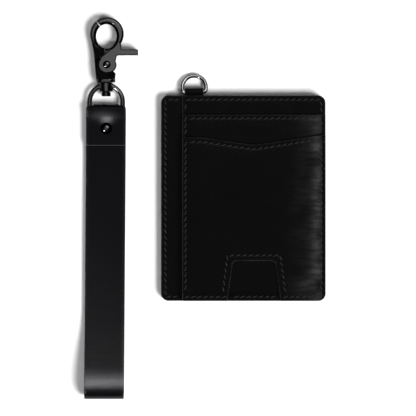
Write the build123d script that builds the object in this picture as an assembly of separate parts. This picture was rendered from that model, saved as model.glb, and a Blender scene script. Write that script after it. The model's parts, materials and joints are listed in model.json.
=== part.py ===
from build123d import *
from math import atan2, cos, degrees, hypot, radians, sin, sqrt, tan
import os

# A slim card wallet and its wrist strap, lying flat side by side with their fronts up.
# X runs across, Y runs from the foot of the strap to the tip of its snap hook, Z is up.
# The origin is the centre of the whole set's footprint, on the surface that it lies on.
# All lengths are in millimetres and all angles in degrees.

# ---------------------------------------------------------------- the set
side_gap = 17.05                 # from the strap's edge to the wallet's edge
wallet_lift = 4.85               # the wallet's centre, above the middle of the set's length

# ---------------------------------------------------------------- wallet leather
wallet_width = 80.0
wallet_height = 100.0
corner_radius = 3.6
panel_leather = 0.8
card_gap = 0.8                   # room for one card behind each pocket panel
hem_width = 3.6                  # turned edge that joins a panel to the one behind it
strip_width = 10.3               # base panel left uncovered beside the pockets
slot_drop = 9.45                 # top edge of the upper slot, below the wallet's top edge
pocket_drop_left = 20.4          # the front pocket's edge, below the wallet's top edge
pocket_drop_middle = 24.0
pocket_drop_right = 19.0
pocket_point_radius = 40.0
window_height = 19.5
window_top_width = 20.3
window_foot_width = 25.7
window_corner_radius = 2.2
back_pocket_drop = 22.0
back_notch_radius = 9.0

# ---------------------------------------------------------------- cash compartment
lining = 0.3
tab_room = 0.1                   # free height left round the ring's tab in the mouth
mouth_facing = 9.0               # bare leather inside the mouth, above the linings
lining_clearance = 0.2

# ---------------------------------------------------------------- stitching
stitch_pitch = 3.0
stitch_length = 2.2
thread_width = 0.55
thread_height = 0.25
perimeter_inset = 2.1
panel_edge_inset = 1.65
slot_inset = 1.8
pocket_inset = 2.2
window_inset = 2.7
back_pocket_inset = 2.0
groove_clearance = 0.1

# ---------------------------------------------------------------- wallet D-ring and tab
ring_wire = 2.1
ring_outer_width = 13.6
ring_side_length = 2.4           # straight part between the bar and the arch
ring_inner_bend = 0.45           # inside radius of the ring's two lower corners
ring_centre_from_left = 16.1
ring_stand_off = 1.8             # bar centre, beyond the wallet's top edge
tab_side_clearance = 0.2
tab_half_height = panel_leather  # the tab's two plies lie face to face
tab_depth = 7.0                  # how far the tab reaches into the mouth
bar_clearance = 0.05             # running fit of a bar in its leather loop
ring_floor_gap = 0.02

# ---------------------------------------------------------------- wrist strap
strap_width = 19.4
strap_length = 143.65            # from the foot of the loop to the top of the leather fold
strap_leather = 1.4
ply_gap = 0.3
loop_outer_radius = 4.75         # open fold at the foot of the loop
loop_taper = 38.0                # length over which the loop closes
flap_length = 20.15              # from the top of the leather fold to the flap's cut edge
inner_end_drop = 7.65            # from the top of the leather fold to the hidden end
fold_rise_length = 4.0
rivet_drop = 11.95               # rivet centre, below the top of the leather fold
rivet_shank_radius = 1.3
rivet_cap_radius = 2.9
rivet_cap_height = 1.3
rivet_foot_radius = 3.2
rivet_foot_height = 0.6

# ---------------------------------------------------------------- swivel eye of the hook
eye_wire = 2.4
eye_side_margin = 0.45           # how far the eye stays inside each edge of the strap
eye_side_length = 3.8
eye_inner_bend = 0.5             # inside radius of the eye's two lower corners
eye_height = 3.4                 # the swivel axis above the surface
eye_swing_back = 60.0            # swing of the eye towards the back of the strap
eye_swing_front = 12.0           # swing towards the front, under the ears of the leather
neck_clearance = 0.45            # from the leather's neck to the inside of the eye's sides
ear_clearance = 0.1              # from the ears to the sides of the eye
boss_radius = 3.3
boss_length = 4.4
pin_radius = 1.5
pin_clearance = 0.05
pin_head_radius = 2.3
pin_head_length = 2.2
pin_end_gap = 0.1
swivel_gap = 0.15

# ---------------------------------------------------------------- snap hook
hook_thickness = 5.0
rim_bevel = 0.95                 # bevel of the eye's band on its outer rims
eye_bevel = 1.2                  # and on its inner rims
wall_thickness = 3.4             # wall that joins the base to the fixed jaw
tongue_thickness = 2.4
tongue_side_gap = 0.15
tongue_radius = 3.9
moving_gap = 0.3                 # from the gate to the body at the parting lines
recess_gap = 0.9                 # from the cheeks to the rim of the recess they turn in
collar_width = 9.2
collar_thickness = 6.8
collar_height = 1.5
collar_roundness = 0.45          # corner radius of the collar, as a share of its thickness
pin_depth = 3.0
edge_chamfer = 0.3

# Places on the hook are measured from the swivel axis (x) and the foot of its collar (rise).
pivot = (0.35, 8.6)
pivot_radius = 1.2
pivot_clearance = 0.05
pivot_head_radius = 1.9
pivot_head_height = 0.65
ring_centre = (0.45, 23.55)
ring_outer_radius = 8.2
oval_centre = (0.15, 22.4)
oval_half_width = 5.0
oval_half_height = 5.9
seam_angle = 129.0               # where the gate meets the fixed jaw
jaw_end_x = -0.6                 # where the fixed jaw ends under the eye
left_wall = ((-7.65, 22.05), (-6.2, 16.1), (-5.6, 10.0))
right_shoulder = (4.7, 4.3)      # widest place of the base on the gate's side

# ---------------------------------------------------------------- the hook's gate
cheek_radius = 4.1
cheek_bulge = (0.9, -0.1)        # centre of the cheeks' right half, from the pivot
cheek_bulge_radius = 3.85
edge_foot = (-3.1, 3.45)         # foot of the gate's slanting upper edge, from the pivot
edge_angle = 39.4
edge_length = 10.0
waist = (4.5, 2.0)               # the lever's narrowest place, from the pivot
foot_room = 1.5                  # extra room below the edge's foot, as a multiple of the gap
web_radius = 4.2                 # the web between the cheeks keeps this far from the pivot
web_foot = 1.5                   # and this far above it
root_x = 7.35                    # where the thumb arm leaves the eye's band
arm_root_x = 5.1                 # and where its underside meets the cheeks
thumb_bottom = 13.05
thumb_top = 16.0
thumb_reach = 15.6
thumb_fillet = 0.9

# ---------------------------------------------------------------- gate spring
spring_wire = 0.5
spring_radius = 1.95
spring_turns = 2
spring_z = 0.5                   # middle of the coil, above the hook's middle plane
spring_pocket_clearance = 0.35
gate_leg_angle = 48.0            # leg that pushes on the gate
fixed_leg_angle = 235.0          # leg that rests in the tongue
gate_open_angle = 28.0
leg_slot_side_clearance = 0.1
leg_slot_height_clearance = 0.05
leg_swing_clearance = 0.5        # at each side of the swinging leg
fixed_leg_inset = 0.7            # from the tongue's rim to the end of the fixed leg
leg_grip = 0.6                   # how far the swinging leg reaches into the web
leg_end_gap = 0.1

# ---------------------------------------------------------------- worked-out places: wallet
overall_width = strap_width + side_gap + wallet_width
wallet_right = overall_width / 2
wallet_left = wallet_right - wallet_width
wallet_top = wallet_lift + wallet_height / 2
wallet_bottom = wallet_lift - wallet_height / 2
panel_left = wallet_left + strip_width
panel_middle = (panel_left + wallet_right) / 2

back_panel_z = panel_leather + card_gap
cash_gap = 2 * panel_leather + tab_room - 2 * lining
back_lining_z = back_panel_z + panel_leather
front_lining_z = back_lining_z + lining + cash_gap
base_panel_z = front_lining_z + lining
hem_meeting_z = (back_lining_z + base_panel_z) / 2
backing_panel_z = base_panel_z + panel_leather
slot_panel_z = backing_panel_z + panel_leather + card_gap
pocket_panel_z = slot_panel_z + panel_leather + card_gap
slot_edge_y = wallet_top - slot_drop
back_pocket_edge_y = wallet_top - back_pocket_drop

# ---------------------------------------------------------------- worked-out places: strap
strap_x = -overall_width / 2 + strap_width / 2
fold_inner_radius = eye_wire / 2 + bar_clearance
fold_outer_radius = fold_inner_radius + strap_leather
eye_outer_width = strap_width - 2 * eye_side_margin
eye_arch_radius = (eye_outer_width - eye_wire) / 2
eye_length = eye_side_length + eye_arch_radius + eye_wire / 2
hook_length = ring_centre[1] + ring_outer_radius
overall_length = strap_length - fold_outer_radius + eye_length + swivel_gap + hook_length
strap_foot_y = -overall_length / 2
fold_top_y = strap_foot_y + strap_length
bar_y = fold_top_y - fold_outer_radius
eye_top_y = bar_y + eye_length
hook_foot_y = eye_top_y + swivel_gap
rivet_y = fold_top_y - rivet_drop
flap_end_y = fold_top_y - flap_length
flap_z = 2 * (strap_leather + ply_gap)
cap_z = flap_z + strap_leather

# ---------------------------------------------------------------- worked-out places: small ring
small_ring_x = wallet_left + ring_centre_from_left
small_ring_y = wallet_top + ring_stand_off
small_ring_z = base_panel_z - tab_half_height
ring_arch_radius = (ring_outer_width - ring_wire) / 2
tab_width = ring_outer_width - 2 * ring_wire - 2 * tab_side_clearance
ring_reach = ring_side_length + ring_arch_radius
ring_drop = small_ring_z - ring_wire / 2 - ring_floor_gap
ring_droop = degrees(atan2(ring_drop, sqrt(ring_reach ** 2 - ring_drop ** 2)))

# ---------------------------------------------------------------- worked-out places: hook
cheek_z = tongue_thickness / 2 + tongue_side_gap
cheek_thickness = hook_thickness / 2 - cheek_z
far = 3 * ring_outer_radius      # past every edge of the hook
gate_foot = (pivot[0] + edge_foot[0], pivot[1] + edge_foot[1])
gate_head = (
    gate_foot[0] + edge_length * cos(radians(edge_angle)),
    gate_foot[1] + edge_length * sin(radians(edge_angle)),
)
recess_radius = cheek_radius + recess_gap
bulge_reach = hypot(*cheek_bulge) + cheek_bulge_radius + recess_gap
spring_height = spring_turns * spring_wire
spring_pocket_radius = spring_radius + spring_wire / 2 + spring_pocket_clearance
fixed_leg_end = tongue_radius - fixed_leg_inset


# ---------------------------------------------------------------- helpers
def rectangle(x_low, x_high, y_low, y_high):
    """A flat rectangle between four limits."""
    centre = ((x_low + x_high) / 2, (y_low + y_high) / 2)
    return Pos(*centre) * Rectangle(x_high - x_low, y_high - y_low)


def block(x_low, x_high, y_low, y_high, z_low, z_high):
    """A rectangular block between six limits."""
    centre = ((x_low + x_high) / 2, (y_low + y_high) / 2, (z_low + z_high) / 2)
    return Pos(*centre) * Box(x_high - x_low, y_high - y_low, z_high - z_low)


def polygon(*points):
    """A flat outline through points."""
    return make_face(Polyline(*points, close=True))


def disc(centre, radius):
    """A flat disc."""
    return Pos(*centre) * Circle(radius)


def slab(outline, z_low, thickness):
    """A flat outline given a thickness, from z_low upwards."""
    return extrude(Pos(0, 0, z_low) * outline, amount=thickness)


def centred_slab(outline, thickness):
    """A flat outline given a thickness, half of it on each side of the hook's middle plane."""
    return slab(outline, -thickness / 2, thickness)


def round_bar(x, y, z_low, z_high, radius):
    """A cylinder standing along Z."""
    middle = (z_low + z_high) / 2
    return Pos(x, y, middle) * Cylinder(radius, z_high - z_low)


def cross_bar(x, z, y_low, y_high, radius):
    """A cylinder lying along Y."""
    middle = (y_low + y_high) / 2
    return Pos(x, middle, z) * Rot(90, 0, 0) * Cylinder(radius, y_high - y_low)


def dome(x, y, z, radius, height):
    """A shallow spherical cap with its flat side at z."""
    sphere_radius = (radius ** 2 + height ** 2) / (2 * height)
    ball = Pos(x, y, z + height - sphere_radius) * Sphere(sphere_radius)
    return ball & block(x - radius, x + radius, y - radius, y + radius, z, z + height)


def wire_ring(arch_radius, side_length, inner_bend, wire):
    """A D-shaped wire ring, its bar along X through the origin and its arch towards +Y."""
    half = arch_radius
    bend_radius = inner_bend + wire / 2
    bar = Line((-half + bend_radius, 0), (half - bend_radius, 0))
    right_bend = RadiusArc((half - bend_radius, 0), (half, bend_radius), -bend_radius)
    right_side = Line((half, bend_radius), (half, side_length))
    arch = CenterArc((0, side_length), arch_radius, 0, 180)
    left_side = Line((-half, side_length), (-half, bend_radius))
    left_bend = RadiusArc((-half, bend_radius), (-half + bend_radius, 0), -bend_radius)
    path = Wire([bar, right_bend, right_side, arch, left_side, left_bend])
    return sweep(Plane.YZ * Circle(wire / 2), path=path)


# ---------------------------------------------------------------- flat outlines of the wallet
def wallet_outline():
    """The rounded rectangle that every wallet panel is cut to."""
    middle_x = (wallet_left + wallet_right) / 2
    return Pos(middle_x, wallet_lift) * RectangleRounded(wallet_width, wallet_height, corner_radius)


def pocket_edge_points(drop=0.0):
    """The shallow V of the front pocket's edge, moved down by drop."""
    return [
        (panel_left, wallet_top - pocket_drop_left - drop),
        (panel_middle, wallet_top - pocket_drop_middle - drop),
        (wallet_right, wallet_top - pocket_drop_right - drop),
    ]


def window_points(outset=0.0):
    """The thumb window's three cut sides, moved outwards by outset, from foot to foot."""
    top_y = wallet_bottom + window_height + outset
    half_top = window_top_width / 2 + outset
    half_foot = window_foot_width / 2 + outset
    return [
        (panel_middle - half_foot, wallet_bottom),
        (panel_middle - half_top, top_y),
        (panel_middle + half_top, top_y),
        (panel_middle + half_foot, wallet_bottom),
    ]


def window_outline():
    """The thumb window: a trapezoid, open at the foot, with rounded upper corners."""
    sides = FilletPolyline(*window_points(), radius=window_corner_radius)
    foot = Line(sides @ 1, sides @ 0)
    return make_face([sides, foot])


def covered_by_pockets(top_y):
    """The wallet's outline right of the bare strip and below top_y."""
    return wallet_outline() & rectangle(panel_left, wallet_right, wallet_bottom, top_y)


def front_pocket_outline():
    """The front pocket panel, with its V edge and thumb window."""
    edge = FilletPolyline(*pocket_edge_points(), radius=pocket_point_radius)
    foot = Polyline(edge @ 1, (wallet_right, wallet_bottom), (panel_left, wallet_bottom), edge @ 0)
    return (make_face([edge, foot]) & wallet_outline()) - window_outline()


def hem(outline, left, right, bottom):
    """The turned edges of a panel: its outline without the card space inside them."""
    inside = rectangle(
        left + hem_width,
        right - hem_width,
        bottom + hem_width,
        wallet_top + hem_width,
    )
    return outline - inside


def pocket_panel(outline, left, z_low):
    """A panel with its hems on the underside, between which a card fits."""
    sheet = slab(outline, z_low, panel_leather)
    turned = slab(hem(outline, left, wallet_right, wallet_bottom), z_low - card_gap, card_gap)
    return sheet + turned


# ---------------------------------------------------------------- wallet panels and linings
def make_back_panel():
    """The back panel: a full sheet whose hems meet the front's at the sides and the foot."""
    outline = wallet_outline()
    hem_height = hem_meeting_z - back_lining_z
    turned = slab(hem(outline, wallet_left, wallet_right, wallet_bottom), back_lining_z, hem_height)
    return slab(outline, back_panel_z, panel_leather) + turned


def make_front_base_panel():
    """The front base panel, which shows as the bare strip on the left."""
    outline = wallet_outline()
    hem_height = base_panel_z - hem_meeting_z
    turned = slab(hem(outline, wallet_left, wallet_right, wallet_bottom), hem_meeting_z, hem_height)
    return slab(outline, base_panel_z, panel_leather) + turned


def make_lining(z_low):
    """A lining sheet, inside the hems and below the leather facing of the mouth."""
    margin = hem_width + lining_clearance
    sheet = rectangle(
        wallet_left + margin,
        wallet_right - margin,
        wallet_bottom + margin,
        wallet_top - mouth_facing,
    )
    return slab(sheet, z_low, lining)


def make_back_pocket_panel():
    """The card pocket on the back, with a thumb notch and a stitching groove on its face."""
    middle_x = (wallet_left + wallet_right) / 2
    covered = rectangle(wallet_left, wallet_right, wallet_bottom, back_pocket_edge_y)
    notch = Pos(middle_x, back_pocket_edge_y) * Circle(back_notch_radius)
    outline = (wallet_outline() & covered) - notch
    sheet = slab(outline, 0, panel_leather)
    turned = slab(hem(outline, wallet_left, wallet_right, wallet_bottom), panel_leather, card_gap)
    groove_width = thread_width + 2 * groove_clearance
    line_outer = offset(wallet_outline(), -(perimeter_inset - groove_width / 2))
    line_inner = offset(wallet_outline(), -(perimeter_inset + groove_width / 2))
    edge_y = back_pocket_edge_y - back_pocket_inset
    edge_line = rectangle(
        wallet_left + perimeter_inset,
        wallet_right - perimeter_inset,
        edge_y - groove_width / 2,
        edge_y + groove_width / 2,
    )
    edge_line -= Pos(middle_x, back_pocket_edge_y) * Circle(back_notch_radius + back_pocket_inset)
    grooves = slab((line_outer - line_inner) + edge_line, 0, thread_height)
    return sheet + turned - grooves


def make_tab():
    """The leather tab that loops round the small ring's bar and is caught in the mouth."""
    inner = ring_wire / 2 + bar_clearance
    outer = inner + panel_leather
    low_x = small_ring_x - tab_width / 2
    loop = Circle(outer) - Circle(inner)
    tongue_length = ring_stand_off + tab_depth
    tongue = rectangle(-tongue_length, 0, -tab_half_height, tab_half_height) - Circle(inner)
    profile = Plane(origin=(low_x, small_ring_y, small_ring_z), x_dir=(0, 1, 0), z_dir=(1, 0, 0))
    return extrude(profile * (loop + tongue), amount=tab_width)


# ---------------------------------------------------------------- stitching
def stitch_places(points):
    """Evenly spaced places and directions of stitches along straight runs, corner to corner."""
    places = []
    for start, end in zip(points, points[1:]):
        run = hypot(end[0] - start[0], end[1] - start[1])
        count = max(1, round(run / stitch_pitch))
        turn = degrees(atan2(end[1] - start[1], end[0] - start[0]))
        for number in range(count):
            share = (number + 0.5) / count
            x = start[0] + share * (end[0] - start[0])
            y = start[1] + share * (end[1] - start[1])
            places.append((x, y, turn))
    return places


def stitch(x, y, turn, z_low):
    """One stitch of thread lying on the leather at z_low."""
    middle = z_low + thread_height / 2
    return Pos(x, y, middle) * Rot(0, 0, turn) * Box(stitch_length, thread_width, thread_height)


def stitches_on(places, surface_height):
    """A group of stitches, each at the height of the leather under it."""
    return Compound(children=[stitch(x, y, turn, surface_height(x, y)) for x, y, turn in places])


def perimeter_places():
    """Stitches along the four straight sides of the seam round the wallet."""
    left = wallet_left + perimeter_inset
    right = wallet_right - perimeter_inset
    bottom = wallet_bottom + perimeter_inset
    top = wallet_top - perimeter_inset
    margin = corner_radius - perimeter_inset + thread_width
    places = stitch_places([(left, bottom + margin), (left, top - margin)])
    places += stitch_places([(left + margin, top), (right - margin, top)])
    places += stitch_places([(right, top - margin), (right, bottom + margin)])
    places += stitch_places([(right - margin, bottom), (left + margin, bottom)])
    return places


def pocket_edge_height(x):
    """Y of the front pocket's V edge at x."""
    left, middle, right = pocket_edge_points()
    start, end = (left, middle) if x < middle[0] else (middle, right)
    share = (x - start[0]) / (end[0] - start[0])
    return start[1] + share * (end[1] - start[1])


def in_window(x, y):
    """Whether a place is over the thumb window."""
    foot_left, top_left = window_points()[:2]
    share = (y - wallet_bottom) / window_height
    half_width = panel_middle - foot_left[0] - share * (top_left[0] - foot_left[0])
    return share < 1 and abs(x - panel_middle) < half_width


def front_height(x, y):
    """Height of the leather on the wallet's front."""
    if x < panel_left:
        return base_panel_z + panel_leather
    if y > slot_edge_y:
        return backing_panel_z + panel_leather
    if y > pocket_edge_height(x) or in_window(x, y):
        return slot_panel_z + panel_leather
    return pocket_panel_z + panel_leather


def back_height(x, y):
    """Height of the underside of the thread on the wallet's back."""
    return back_panel_z - thread_height if y > back_pocket_edge_y else 0.0


def clear_of_steps(places, surface_height):
    """The places whose two ends lie on leather of one height."""
    kept = []
    for x, y, turn in places:
        reach_x = 0.5 * (stitch_length + thread_width) * cos(radians(turn))
        reach_y = 0.5 * (stitch_length + thread_width) * sin(radians(turn))
        heights = {surface_height(x + side * reach_x, y + side * reach_y) for side in (-1, 0, 1)}
        if len(heights) == 1:
            kept.append((x, y, turn))
    return kept


def make_perimeter_thread():
    """The seam round the wallet, as it shows on the front."""
    return stitches_on(clear_of_steps(perimeter_places(), front_height), front_height)


def make_back_thread():
    """The same seam, as it shows on the back."""
    return stitches_on(clear_of_steps(perimeter_places(), back_height), back_height)


def make_panel_thread():
    """The seam along the pockets' left edge."""
    x = panel_left + panel_edge_inset
    margin = perimeter_inset + stitch_length
    places = stitch_places([(x, wallet_bottom + margin), (x, wallet_top - margin)])
    return stitches_on(clear_of_steps(places, front_height), front_height)


def make_slot_thread():
    """The line of stitching below the upper slot's edge."""
    y = slot_edge_y - slot_inset
    start = (panel_left + panel_edge_inset + stitch_length, y)
    end = (wallet_right - perimeter_inset - stitch_length, y)
    return stitches_on(stitch_places([start, end]), front_height)


def make_pocket_thread():
    """The line of stitching below the front pocket's V edge."""
    left, middle, right = pocket_edge_points(pocket_inset)
    margin_left = panel_edge_inset + stitch_length
    margin_right = perimeter_inset + stitch_length
    left = (left[0] + margin_left, pocket_edge_height(left[0] + margin_left) - pocket_inset)
    right = (right[0] - margin_right, pocket_edge_height(right[0] - margin_right) - pocket_inset)
    return stitches_on(stitch_places([left, middle, right]), front_height)


def make_window_thread():
    """The line of stitching round the thumb window."""
    foot_left, top_left, top_right, foot_right = window_points(window_inset)
    foot_rise = perimeter_inset + stitch_length
    foot_share = foot_rise / (top_left[1] - foot_left[1])
    foot_shift = foot_share * (top_left[0] - foot_left[0])
    foot_left = (foot_left[0] + foot_shift, foot_left[1] + foot_rise)
    foot_right = (foot_right[0] - foot_shift, foot_right[1] + foot_rise)
    places = stitch_places([foot_left, top_left, top_right, foot_right])
    return stitches_on(places, front_height)


def make_back_pocket_thread():
    """The stitching beside the back pocket's edge, broken by the thumb notch."""
    middle_x = (wallet_left + wallet_right) / 2
    y = back_pocket_edge_y - back_pocket_inset
    margin = perimeter_inset + stitch_length
    half_break = back_notch_radius + back_pocket_inset + stitch_length
    left_run = [(wallet_left + margin, y), (middle_x - half_break, y)]
    right_run = [(middle_x + half_break, y), (wallet_right - margin, y)]
    return stitches_on(stitch_places(left_run) + stitch_places(right_run), back_height)


# ---------------------------------------------------------------- the wallet's small ring
def make_wallet_ring():
    """The small D-ring, hanging down from its bar to just above the surface."""
    ring = wire_ring(ring_arch_radius, ring_side_length, ring_inner_bend, ring_wire)
    return Pos(small_ring_x, small_ring_y, small_ring_z) * Rot(-ring_droop, 0, 0) * ring


# ---------------------------------------------------------------- the strap's leather band
def band_run(start, end):
    """A straight stretch of the band, seen from the side as (y, z)."""
    length = hypot(end[0] - start[0], end[1] - start[1])
    middle = ((start[0] + end[0]) / 2, (start[1] + end[1]) / 2)
    turn = degrees(atan2(end[1] - start[1], end[0] - start[0]))
    return Pos(*middle) * Rot(0, 0, turn) * Rectangle(length, strap_leather)


def band_arc(centre, radius, first_angle, swept_angle):
    """A curved stretch of the band about a centre, seen from the side as (y, z)."""
    inner = CenterArc(centre, radius - strap_leather / 2, first_angle, swept_angle)
    outer = CenterArc(centre, radius + strap_leather / 2, first_angle, swept_angle)
    return make_face([inner, Line(inner @ 1, outer @ 1), outer, Line(outer @ 0, inner @ 0)])


def band_step(start, end):
    """Two equal bends that take the band from one level to another, both ends level."""
    run = end[0] - start[0]
    rise = end[1] - start[1]
    angle = 2 * atan2(abs(rise), run)
    radius = run / (2 * sin(angle))
    swept = degrees(angle)
    if rise > 0:
        first = band_arc((start[0], start[1] + radius), radius, -90, swept)
        second = band_arc((end[0], end[1] - radius), radius, 90, swept)
    else:
        first = band_arc((start[0], start[1] - radius), radius, 90 - swept, swept)
        second = band_arc((end[0], end[1] + radius), radius, -90 - swept, swept)
    return first + second


def strap_profile():
    """The whole band from the side: flap, fold round the eye, back, open loop and front."""
    half = strap_leather / 2
    fold_radius = fold_inner_radius + half
    rise_start_y = bar_y - fold_rise_length
    foot_radius = loop_outer_radius - half
    foot_centre = (strap_foot_y + loop_outer_radius, loop_outer_radius)
    front_level = strap_leather + ply_gap + half
    flap_level = flap_z + half
    taper_end = (foot_centre[0] + loop_taper, front_level)
    inner_end_y = fold_top_y - inner_end_drop
    profile = band_run((flap_end_y, flap_level), (rise_start_y, flap_level))
    profile += band_step((rise_start_y, flap_level), (bar_y, eye_height + fold_radius))
    profile += band_arc((bar_y, eye_height), fold_radius, -90, 180)
    profile += band_step((rise_start_y, half), (bar_y, eye_height - fold_radius))
    profile += band_run((foot_centre[0], half), (rise_start_y, half))
    profile += band_arc(foot_centre, foot_radius, 90, 180)
    profile += band_step((foot_centre[0], foot_centre[1] + foot_radius), taper_end)
    profile += band_run(taper_end, (inner_end_y, front_level))
    return profile


def eye_side_path(inner_x, outer_x):
    """The space swept by one side of the eye as it swings, above and behind which leather stays."""
    reach = strap_width
    shoulder_y = bar_y - fold_inner_radius * tan(radians(eye_swing_back / 2))
    wire_top = eye_wire / 2 + ear_clearance
    rise = reach * tan(radians(eye_swing_front))
    lift = wire_top / cos(radians(eye_swing_front))
    back_z = -reach
    outline = polygon(
        (shoulder_y, back_z),
        (bar_y + reach, back_z),
        (bar_y + reach, eye_height + lift + rise),
        (bar_y, eye_height + lift),
        (shoulder_y, eye_height + lift),
    )
    side = Plane(origin=(inner_x, 0, 0), x_dir=(0, 1, 0), z_dir=(1, 0, 0))
    return extrude(side * outline, amount=outer_x - inner_x)


def make_strap_leather():
    """The strap: one long band, cut away behind the sides of the eye so that they can swing."""
    side = Plane(origin=(strap_x - strap_width / 2, 0, 0), x_dir=(0, 1, 0), z_dir=(1, 0, 0))
    band = extrude(side * strap_profile(), amount=strap_width)
    neck_half = eye_outer_width / 2 - eye_wire - neck_clearance
    band -= eye_side_path(strap_x - strap_width, strap_x - neck_half)
    band -= eye_side_path(strap_x + neck_half, strap_x + strap_width)
    band -= round_bar(strap_x, rivet_y, 0, cap_z, rivet_shank_radius)
    band -= round_bar(strap_x, rivet_y, 0, rivet_foot_height, rivet_foot_radius)
    return band


def make_rivet_post():
    """The rivet's post and flat foot, let into the back of the strap."""
    foot = round_bar(strap_x, rivet_y, 0, rivet_foot_height, rivet_foot_radius)
    return foot + round_bar(strap_x, rivet_y, rivet_foot_height, cap_z, rivet_shank_radius)


def make_rivet_cap():
    """The rivet's domed cap on the front of the flap."""
    return dome(strap_x, rivet_y, cap_z, rivet_cap_radius, rivet_cap_height)


# ---------------------------------------------------------------- swivel eye and its pin
def make_swivel_eye():
    """The D-shaped eye, with the boss that the swivel pin turns in."""
    ring = wire_ring(eye_arch_radius, eye_side_length, eye_inner_bend, eye_wire)
    eye = Pos(strap_x, bar_y, eye_height) * ring
    boss = cross_bar(strap_x, eye_height, eye_top_y - boss_length, eye_top_y, boss_radius)
    boss = chamfer(boss.edges().filter_by(GeomType.CIRCLE), edge_chamfer)
    reach = boss_length + eye_wire
    bore_radius = pin_radius + pin_clearance
    bore = cross_bar(strap_x, eye_height, eye_top_y - reach, eye_top_y + reach, bore_radius)
    return eye + boss - bore


def make_swivel_pin():
    """The headed pin that ties the hook to its eye and lets it turn."""
    head_top = eye_top_y - boss_length - pin_end_gap
    head_foot = head_top - pin_head_length
    head = cross_bar(strap_x, eye_height, head_foot, head_top, pin_head_radius)
    head = chamfer(head.edges().filter_by(GeomType.CIRCLE), edge_chamfer)
    shank = cross_bar(strap_x, eye_height, head_top, hook_foot_y + pin_depth, pin_radius)
    return head + shank


# ---------------------------------------------------------------- shapes of the hook
def on_hook(piece):
    """Moves a piece from the hook's own axes to its place in the set."""
    return Pos(strap_x, hook_foot_y, eye_height) * piece


def eye_opening():
    """The hook's oval opening, flared at both faces."""
    half = hook_thickness / 2
    straight = centred_slab(Ellipse(oval_half_width, oval_half_height), hook_thickness)
    mouth = Pos(0, 0, half) * Ellipse(oval_half_width + eye_bevel, oval_half_height + eye_bevel)
    throat = Pos(0, 0, half - eye_bevel) * Ellipse(oval_half_width, oval_half_height)
    flare = loft([throat, mouth])
    return Pos(*oval_centre) * (straight + flare + mirror(flare, about=Plane.XY))


def eye_band():
    """The band round the hook's eye with its bevelled rims, before it is parted."""
    blank = Cylinder(ring_outer_radius, hook_thickness)
    blank = chamfer(blank.edges().filter_by(GeomType.CIRCLE), rim_bevel)
    return Pos(*ring_centre) * blank - eye_opening()


def gate_side(gap):
    """The region on the gate's side of the parting lines, grown by gap."""
    seam = (cos(radians(seam_angle)), sin(radians(seam_angle)))
    middle = (ring_centre[0] - gap * seam[1], ring_centre[1] + gap * seam[0])
    tip = (middle[0] + far * seam[0], middle[1] + far * seam[1])
    edge = (cos(radians(edge_angle)), sin(radians(edge_angle)))
    foot = (
        gate_foot[0] - gap * (edge[1] + foot_room * edge[0]),
        gate_foot[1] + gap * (edge[0] - foot_room * edge[1]),
    )
    jaw_end = jaw_end_x - gap
    return polygon(
        middle,
        tip,
        (far, tip[1]),
        (far, pivot[1]),
        pivot,
        foot,
        (jaw_end, foot[1] + (jaw_end - foot[0]) * tan(radians(edge_angle))),
        (jaw_end, oval_centre[1]),
    )


def corner_fill(corner, across, along):
    """The concave fillet in a corner whose sides run towards across (x) and along (y)."""
    x_low, x_high = sorted((corner[0], corner[0] + across * thumb_fillet))
    y_low, y_high = sorted((corner[1], corner[1] + along * thumb_fillet))
    centre = (corner[0] + across * thumb_fillet, corner[1] + along * thumb_fillet)
    return rectangle(x_low, x_high, y_low, y_high) - disc(centre, thumb_fillet)


def lever_outline():
    """The part of the gate that turns about the pivot and carries the thumb arm."""
    plate = polygon(
        gate_foot,
        gate_head,
        (root_x, ring_centre[1] - sqrt(ring_outer_radius ** 2 - (root_x - ring_centre[0]) ** 2)),
        (root_x, thumb_bottom),
        (arm_root_x, thumb_bottom),
        (pivot[0] + waist[0], pivot[1] + waist[1]),
        pivot,
    )
    bulge = disc((pivot[0] + cheek_bulge[0], pivot[1] + cheek_bulge[1]), cheek_bulge_radius)
    thumb = rectangle(arm_root_x, thumb_reach, thumb_bottom, thumb_top)
    fills = corner_fill((root_x, thumb_top), 1, 1) + corner_fill((arm_root_x, thumb_bottom), 1, -1)
    return plate + disc(pivot, cheek_radius) + bulge + thumb + fills


def body_outline():
    """The base of the hook and the wall that carries the fixed jaw."""
    half_foot = collar_width / 2
    shank = polygon(
        (-half_foot, 0),
        (half_foot - moving_gap, 0),
        right_shoulder,
        pivot,
        gate_head,
        (oval_centre[0], oval_centre[1] - oval_half_height),
        (oval_centre[0] - oval_half_width, oval_centre[1]),
        *left_wall,
    )
    return shank - gate_side(moving_gap)


def recess_outline():
    """The pocket on each face of the hook in which the cheeks of the gate turn."""
    wide = disc(pivot, bulge_reach)
    right_part = rectangle(pivot[0], pivot[0] + bulge_reach, 0, 2 * pivot[1])
    return disc(pivot, recess_radius) + (wide & right_part)


def leg_slot(start_radius, end_radius, angle, width, height):
    """A straight bar that runs outwards from the pivot at an angle, level with the spring."""
    length = end_radius - start_radius
    middle = (start_radius + end_radius) / 2
    return Pos(*pivot) * Rot(0, 0, angle) * Pos(middle, 0, spring_z) * Box(length, width, height)


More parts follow.
